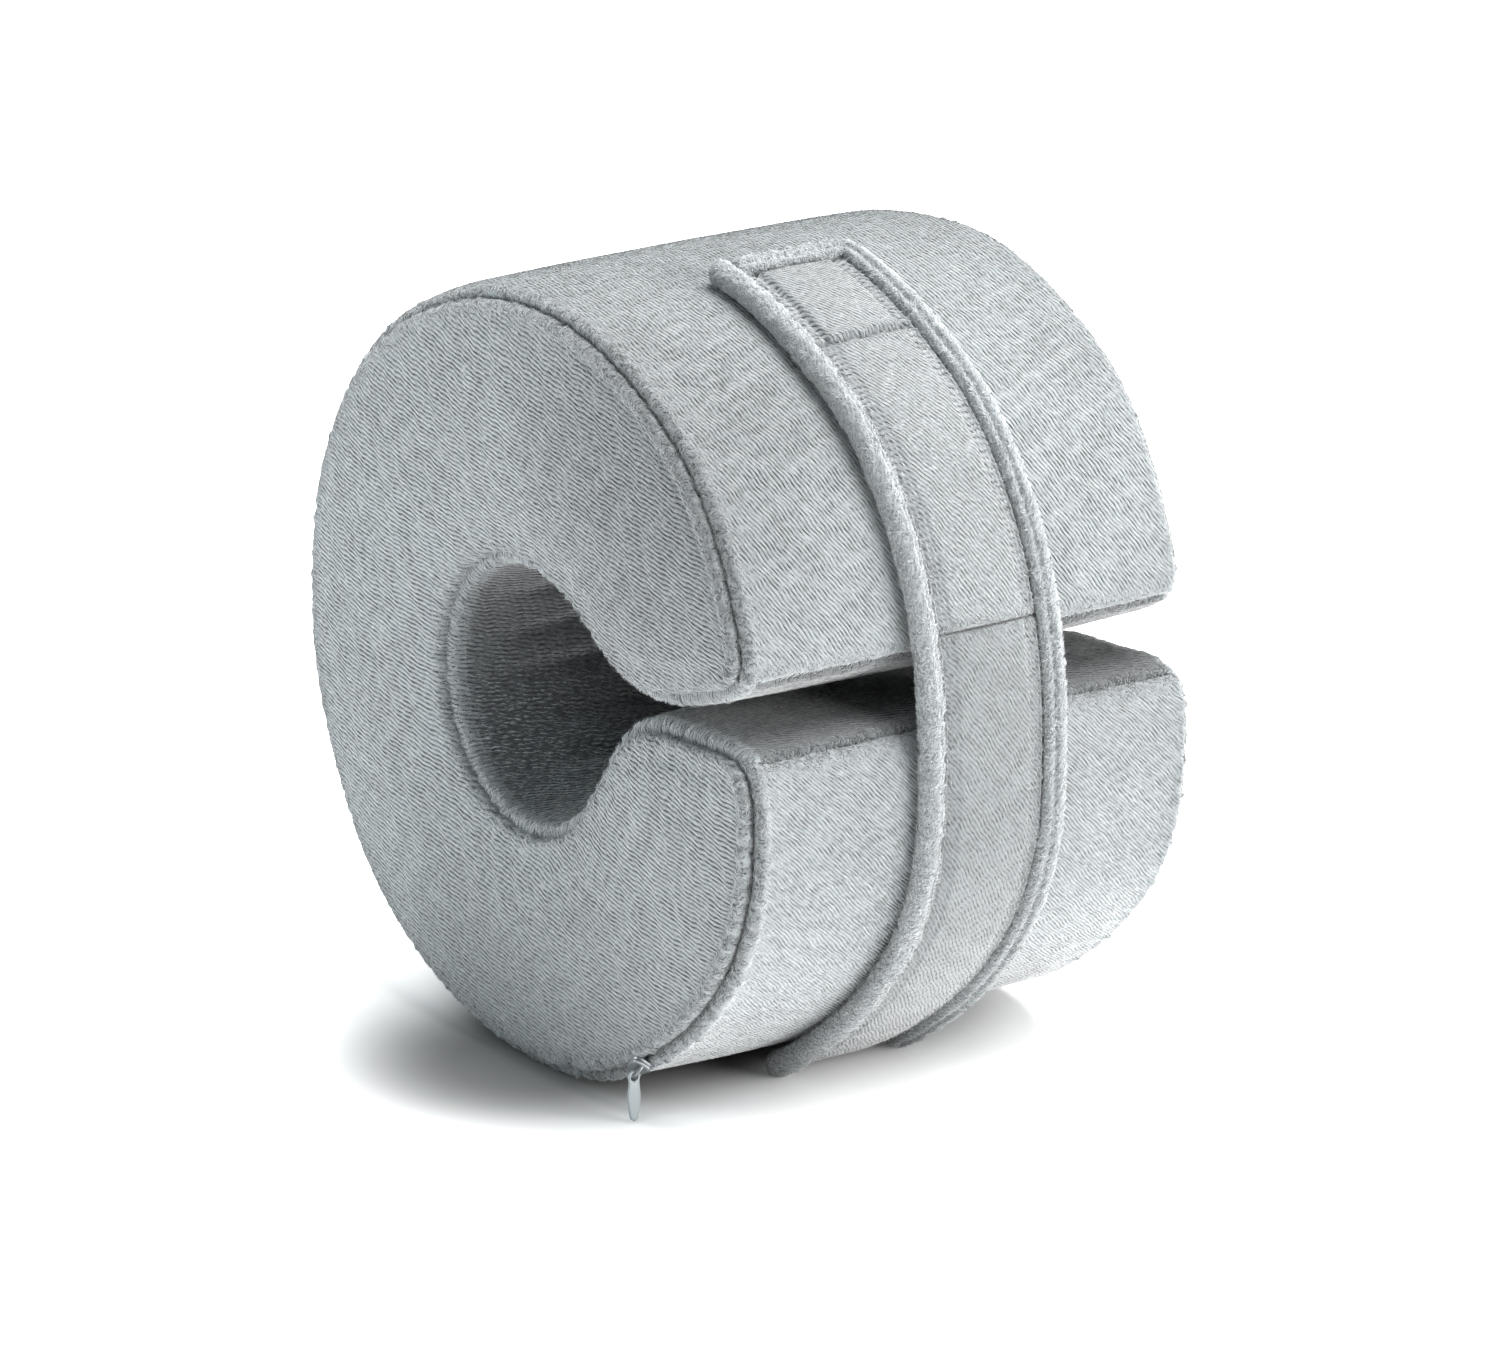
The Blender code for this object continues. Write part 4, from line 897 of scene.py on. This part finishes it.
def binding(name, knots, outer_side, seed):
    """A rolled tube along knots of (degrees, y), flat underneath, with a sewn groove towards the panels."""
    knots = np.array(knots, float)
    knot_gaps = np.hypot(np.diff(knots[:, 0]) / DEGREES_PER_METRE, np.diff(knots[:, 1]))
    knot_run = np.concatenate([[0], np.cumsum(knot_gaps)])
    run = np.linspace(0, knot_run[-1], int(knot_run[-1] / BINDING_STEP))
    line = np.stack([np.interp(run, knot_run, knots[:, n]) for n in range(2)], 1)
    turn = np.radians(np.linspace(-90, 270, ROLL_POINTS, endpoint=False))
    half, middle = BINDING_WIDTH / 2, BINDING_HEIGHT / 2
    run_2d, turn_2d = np.broadcast_arrays(run[:, None], turn[None])
    round_place = np.stack([np.cos(turn_2d), np.sin(turn_2d), run_2d / ROLL_WAVE], -1)
    lumps = LUMP_RISE * uneven(round_place * LUMP_SCALE, 1.0, seed)
    curls = CURL_RISE * uneven(round_place * ROLL_CURL_SCALE, 1.0, seed + CURL_SEED)
    from_groove = np.abs((turn_2d - (ROLL_GROOVE_AT if outer_side > 0 else math.pi - ROLL_GROOVE_AT)))
    varied = 1 + ROLL_GROOVE_VARIES * ripple(run_2d, ROLL_GROOVE_WAVE, seed)
    groove = ROLL_GROOVE_DEEP * hill(from_groove, ROLL_GROOVE_HALF) * varied
    swollen = 1 + (lumps + curls - groove) / half
    size = swollen * end_rounding(run, ROLL_END, ROLL_END_LEAST, ROLL_END_LEAST)
    across = half * np.cos(turn_2d) * np.minimum(size, WIDEST)
    height = middle + middle * np.sin(turn_2d) * np.minimum(size, HIGHEST)
    points, place = strip_points(line, across, np.maximum(height, 0.0))
    nap = np.stack([run_2d, turn_2d * half + ROLL_NAP_FALL * run_2d], -1)
    return tube(name, points, nap, np.full(run_2d.shape, ROLL_RUFFLE))


side = PANEL_HALF + BINDING_WIDTH / 2
near_angles = np.linspace(STRAP_END, STRAP_TOP, LINE_POINTS)
near_line = [(a, float(strap_centre(a)) - side) for a in near_angles]
end_angle = STRAP_TOP - BINDING_WIDTH / 2 * DEGREES_PER_METRE
bend = CORNER_RADIUS * DEGREES_PER_METRE
far_angles = np.linspace(STRAP_END, end_angle - bend, LINE_POINTS)
far_line = [(a, float(strap_centre(a)) + side) for a in far_angles]
corner_y = float(strap_centre(end_angle)) + side - CORNER_RADIUS
for turned in np.radians(CORNER_STEPS):
    corner_angle = end_angle - bend * (1 - math.sin(turned))
    far_line.append((corner_angle, corner_y + CORNER_RADIUS * math.cos(turned)))
far_line.append((end_angle, float(strap_centre(end_angle)) - PANEL_HALF + SEWING_GAP))
BINDING_TUFT = 2.2 * MM, 1.3 * MM
BINDING_COLOUR, BINDING_SHADE, BINDING_NAP_DEPTH = (0.225, 0.245, 0.253), (0.10, 0.111, 0.115), 0.8 * MM
BINDING_PILE_COLOUR, BINDING_PILE_SHADE = (0.40, 0.434, 0.445), (0.10, 0.110, 0.115)
binding_pile = pile_look("binding_pile", BINDING_PILE_COLOUR, BINDING_PILE_SHADE)
binding_look = plush("binding_plush", BINDING_COLOUR, BINDING_SHADE, BINDING_TUFT, BINDING_NAP_DEPTH)
for name, node, line, outer_side, number, seed in (
    ("binding_near", "strap_binding_front", near_line, -1, 26000, 31),
    ("binding_far", "strap_binding_back", far_line, 1, 30000, 32),
):
    made, skin = binding(name, line, outer_side, seed)
    made.data.materials.append(binding_look)
    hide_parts(node)
    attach(made, "root")
    weight = np.ones(len(skin[1]))
    pile = blades(name + "_pile", skin, weight, number, seed, length=1.8 * MM, width=0.36 * MM,
                  tuft=BINDING_TUFT, lean=11.0, stray=0.25)
    pile.data.materials.append(binding_pile)
    pile.parent = made

# The zip's slider is a small cast metal shoe on the seam between the zipped face and the band, half buried in
# the pile. It is wide at its mouth, has a groove down each flank and carries a bail of round wire on its back.
ZIP_ANGLE = -60.0
SLIDER_LENGTH, SLIDER_WIDTH, SLIDER_HEIGHT = 8.0 * MM, 5.0 * MM, 2.4 * MM
SLIDER_SPREAD = 1.35
BAIL_LENGTH, BAIL_RADIUS, BAIL_RISE, BAIL_SINK = 5.6 * MM, 0.5 * MM, 3.0 * MM, 0.4 * MM
# The shoe's section, from its base to its top: share of its height, how far its side is drawn in, mm
SHOE_LAYERS = (
    (0.0, 0.35), (0.05, 0.1), (0.14, 0.0), (0.34, 0.0), (0.42, 0.4), (0.54, 0.4), (0.62, 0.05), (0.80, 0.12),
    (0.93, 0.35), (1.0, 0.75),
)
SHOE_POINTS, BAIL_STEPS, BAIL_POINTS = 40, 24, 16
METAL_FINISH = {"Base Color": (0.20, 0.215, 0.225, 1.0), "Metallic": 0.85, "Roughness": 0.34}
seam_turn = math.radians(ZIP_ANGLE)
radial = Vector((math.cos(seam_turn), 0, math.sin(seam_turn)))
seam_way = Vector((-math.sin(seam_turn), 0, math.cos(seam_turn)))
out_way = (radial + Vector((0, -1, 0))).normalized()
seam_inset = BAND_EDGE * (1 - math.cos(math.radians(SEAM_AT)))
seat = radial * (float(band_radius(ZIP_ANGLE)) - seam_inset - SIDE_DRAW)
seat = seat + Vector((0, -(FACE_DEPTH - seam_inset), AXIS_HEIGHT))
zip_place = Matrix((seam_way, out_way.cross(seam_way), out_way)).transposed().to_4x4()
zip_place.translation = seat + out_way * SEWING_GAP


def ringed(shape, rings, capped=True, joined=False):
    """Adds a skin through rings of points to the shape, with flat ends or joined into a loop."""
    rows = [[shape.verts.new(p) for p in ring] for ring in rings]
    pairs = list(zip(rows, rows[1:])) + ([(rows[-1], rows[0])] if joined else [])
    for first, second in pairs:
        for k in range(len(first)):
            n = (k + 1) % len(first)
            shape.faces.new((first[k], first[n], second[n], second[k]))
    if capped:
        shape.faces.new(rows[0][::-1])
        shape.faces.new(rows[-1])


def hard_piece(name, shape, place, look):
    """An object from the shape, moved to its place."""
    bmesh.ops.recalc_face_normals(shape, faces=shape.faces)
    mesh = bpy.data.meshes.new(name)
    shape.transform(place)
    shape.to_mesh(mesh)
    shape.free()
    mesh.shade_smooth()
    mesh.materials.append(look)
    made = bpy.data.objects.new(name, mesh)
    bpy.context.scene.collection.objects.link(made)
    return made


def shoe_outline(drawn_in):
    """The slider seen from above: narrow and round at its back, wide at its two-cornered mouth."""
    points = []
    for step in range(SHOE_POINTS):
        turned = 2 * math.pi * step / SHOE_POINTS
        c, s = math.cos(turned), math.sin(turned)
        reach = 1 / (abs(c) ** 4 + abs(s) ** 4) ** 0.25
        x = (SLIDER_LENGTH / 2 - drawn_in) * c * reach
        half = SLIDER_WIDTH / 2 * (1 + (SLIDER_SPREAD - 1) * (0.5 + x / SLIDER_LENGTH)) - drawn_in
        points.append((x, half * s * reach))
    return points


metal = new_look("slider_metal", METAL_FINISH)[0]
shape = bmesh.new()
layers = []
for up, inward in SHOE_LAYERS:
    layers.append([(x, y, SLIDER_HEIGHT * up) for x, y in shoe_outline(inward * MM)])
ringed(shape, layers)
bail = []
bail_foot = SLIDER_HEIGHT - BAIL_SINK
for step in range(BAIL_STEPS + 1):
    turned = math.pi * step / BAIL_STEPS
    centre = Vector((-BAIL_LENGTH / 2 * math.cos(turned), 0, bail_foot + BAIL_RISE * math.sin(turned)))
    away, sideways = Vector((-math.cos(turned), 0, math.sin(turned))), Vector((0, 1, 0))
    turns = [2 * math.pi * k / BAIL_POINTS for k in range(BAIL_POINTS)]
    bail.append([centre + BAIL_RADIUS * (away * math.cos(b) + sideways * math.sin(b)) for b in turns])
ringed(shape, bail)
slider = hard_piece("zip_shoe", shape, zip_place, metal)
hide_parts("zip_slider")
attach(slider, "root")

# The zip's pull is a slim leaf of pressed metal painted to match the cover, with rounded edges and a raised rim.
# It hangs straight down from the bail by its round eye.
PULL_LENGTH, PULL_WIDTH, PULL_THICKNESS = 14.0 * MM, 4.3 * MM, 1.0 * MM
PULL_EYE, PULL_HANG = 1.35 * MM, 0.15 * MM
# Its outline from above the eye to its tip: share of its length below the eye's middle, share of its width
PULL_OUTLINE = (
    (-0.14, 0.40), (-0.08, 0.80), (0.0, 0.90), (0.10, 0.80), (0.24, 0.86), (0.40, 1.0), (0.6, 0.94), (0.8, 0.76),
    (0.95, 0.54), (1.0, 0.20),
)
# Its section on one side: share of the way from the eye to the edge, share of half its thickness
PULL_LAYERS = ((0.0, 0.75), (0.12, 0.98), (0.55, 0.72), (0.80, 0.74), (0.90, 1.0), (0.96, 0.93), (0.995, 0.55))
PULL_STEPS, PULL_POINTS = 90, 160
PAINT_FINISH = {"Base Color": (0.205, 0.232, 0.240, 1.0), "Roughness": 0.42}
paint = new_look("pull_paint", PAINT_FINISH)[0]
bail_top = zip_place @ Vector((0, 0, bail_foot + BAIL_RISE))
eye = bail_top + Vector((0, 0, -PULL_HANG))
share = np.linspace(PULL_OUTLINE[0][0], 1.0, PULL_STEPS)
half = smooth_table(PULL_OUTLINE, share) * PULL_WIDTH / 2
right_edge = np.stack([half, -share * PULL_LENGTH], 1)
left_edge = np.stack([-half[::-1], -share[::-1] * PULL_LENGTH], 1)
edge_line = np.concatenate([right_edge, left_edge])
turned = np.unwrap(np.arctan2(edge_line[:, 1], edge_line[:, 0]))
wanted = np.linspace(turned[0], turned[0] - 2 * math.pi, PULL_POINTS, endpoint=False)
order = np.argsort(turned)
edge_line = [np.interp(wanted, turned[order], edge_line[order, n], period=2 * math.pi) for n in range(2)]
edge_line = np.stack(edge_line, 1)
eye_line = PULL_EYE * edge_line / np.linalg.norm(edge_line, axis=1)[:, None]
layers = []
for way, thickness in list(PULL_LAYERS) + [(w, -t) for w, t in PULL_LAYERS[::-1]]:
    ring = eye_line + (edge_line - eye_line) * way
    layers.append([(thickness * PULL_THICKNESS / 2, x, z) for x, z in ring])
shape = bmesh.new()
ringed(shape, layers, capped=False, joined=True)
pull = hard_piece("zip_leaf", shape, Matrix.Translation(eye), paint)
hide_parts("zip_pull")
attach(pull, "root")

# The floor is pale and seamless, with a painted shadow that darkens it close to where the cushion rests and a
# painted glow that lights it further out. Broad soft lights stand round it, the strongest overhead and the next
# low on the slit's side. A long lens looks from the photograph's place: in front of the zipped face, to the
# right and a little above.
FLOOR_HALF, FLOOR_SUNK = 9, 0.0003
FLOOR_WHITE, FLOOR_PAINTED_SHADOW, PAINTED_SHADOW_FROM, PAINTED_SHADOW_TO = 0.90, 0.20, 0.02, 0.08
REST_HALF, REST_MIDDLE = 0.05, -0.03  # the line of deepest painted shadow along Y: half its length, and its middle
GLOW_FROM, GLOW_TO = 0.035, 0.14  # distances from that line over which the floor's painted glow rises, so that it fades to plain white
FLOOR_FINISH = {"Roughness": 0.7, "Emission Strength": 1.3}
STUDIO_COLOUR, STUDIO_STRENGTH = (0.97, 0.985, 1.0, 1.0), 0.04
CAMERA_TURN, CAMERA_TILT = math.radians(54.872), math.radians(17.915)
CAMERA_AWAY, CAMERA_RIGHT, CAMERA_UP = 2.7, 1.994 * MM, -12.888 * MM
LENS, SENSOR = 214.89, 36.0
floor_ways = ((-1, -1), (1, -1), (1, 1), (-1, 1))
floor_corners = [(x * FLOOR_HALF, y * FLOOR_HALF, -FLOOR_SUNK) for x, y in floor_ways]
floor_mesh = bpy.data.meshes.new("floor")
floor_mesh.from_pydata(floor_corners, [], [(0, 1, 2, 3)])
floor = bpy.data.objects.new("floor", floor_mesh)
bpy.context.scene.collection.objects.link(floor)
floor_look, floor_shader, start = new_look("floor", FLOOR_FINISH)
from_middle = start.node("ShaderNodeSeparateXYZ", None, {"Vector": start.node("ShaderNodeNewGeometry")})
past_end = (abs(from_middle.also(1) - REST_MIDDLE) - REST_HALF).at_least(0.0)
from_line = (from_middle * from_middle + past_end * past_end) ** 0.5
# painted light: the floor glows, more the further it lies from where the cushion rests
glow = from_line.clamped(GLOW_FROM, GLOW_TO)
# painted shadow: the floor's colour is darker close to where the cushion rests
pale = FLOOR_PAINTED_SHADOW + (FLOOR_WHITE - FLOOR_PAINTED_SHADOW) * from_line.clamped(PAINTED_SHADOW_FROM, PAINTED_SHADOW_TO)
for grey, name in ((pale, "Base Color"), (glow, "Emission Color")):
    start.node("ShaderNodeCombineXYZ", None, {"X": grey, "Y": grey, "Z": grey}).feeds(floor_shader, name)
floor.data.materials.append(floor_look)

world = bpy.data.worlds.new("studio")
bpy.context.scene.world = world
world.use_nodes = True
world.node_tree.nodes["Background"].inputs["Color"].default_value = STUDIO_COLOUR
world.node_tree.nodes["Background"].inputs["Strength"].default_value = STUDIO_STRENGTH
for name, place, size, power, colour in (
    ("right_light", (1.75, 0.7, 0.42), 1.1, 54.0, (1.0, 0.985, 0.98)),
    ("top_light", (0.25, 0.5, 2.0), 1.5, 120.0, (1.0, 0.995, 0.99)),
    ("front_light", (-0.9, -1.5, 1.0), 0.8, 5.0, (0.86, 0.96, 1.0)),
    ("high_light", (0.5, -1.2, 1.7), 0.8, 10.5, (0.88, 0.97, 1.0)),
    ("left_light", (-0.45, -0.60, 0.10), 0.3, 2.8, (0.88, 0.97, 1.0)),
):
    lamp = bpy.data.lights.new(name, "AREA")
    lamp.size, lamp.energy, lamp.color = size, power, colour
    light = bpy.data.objects.new(name, lamp)
    light.location = place
    inward = Vector((0, 0, AXIS_HEIGHT)) - light.location
    light.rotation_euler = inward.to_track_quat("-Z", "Y").to_euler()
    bpy.context.scene.collection.objects.link(light)

level = math.cos(CAMERA_TILT)
back = Vector((math.sin(CAMERA_TURN) * level, -math.cos(CAMERA_TURN) * level, math.sin(CAMERA_TILT)))
right = Vector((math.cos(CAMERA_TURN), math.sin(CAMERA_TURN), 0))
lens = bpy.data.cameras.new("camera")
lens.lens, lens.sensor_width = LENS, SENSOR
camera = bpy.data.objects.new("camera", lens)
camera.location = right * CAMERA_RIGHT + right.cross(-back) * CAMERA_UP + back * CAMERA_AWAY
camera.location = camera.location + Vector((0, 0, AXIS_HEIGHT))
camera.rotation_euler = (-back).to_track_quat("-Z", "Y").to_euler()
bpy.context.scene.collection.objects.link(camera)
bpy.context.scene.camera = camera
bpy.context.scene.view_settings.view_transform = "Standard"
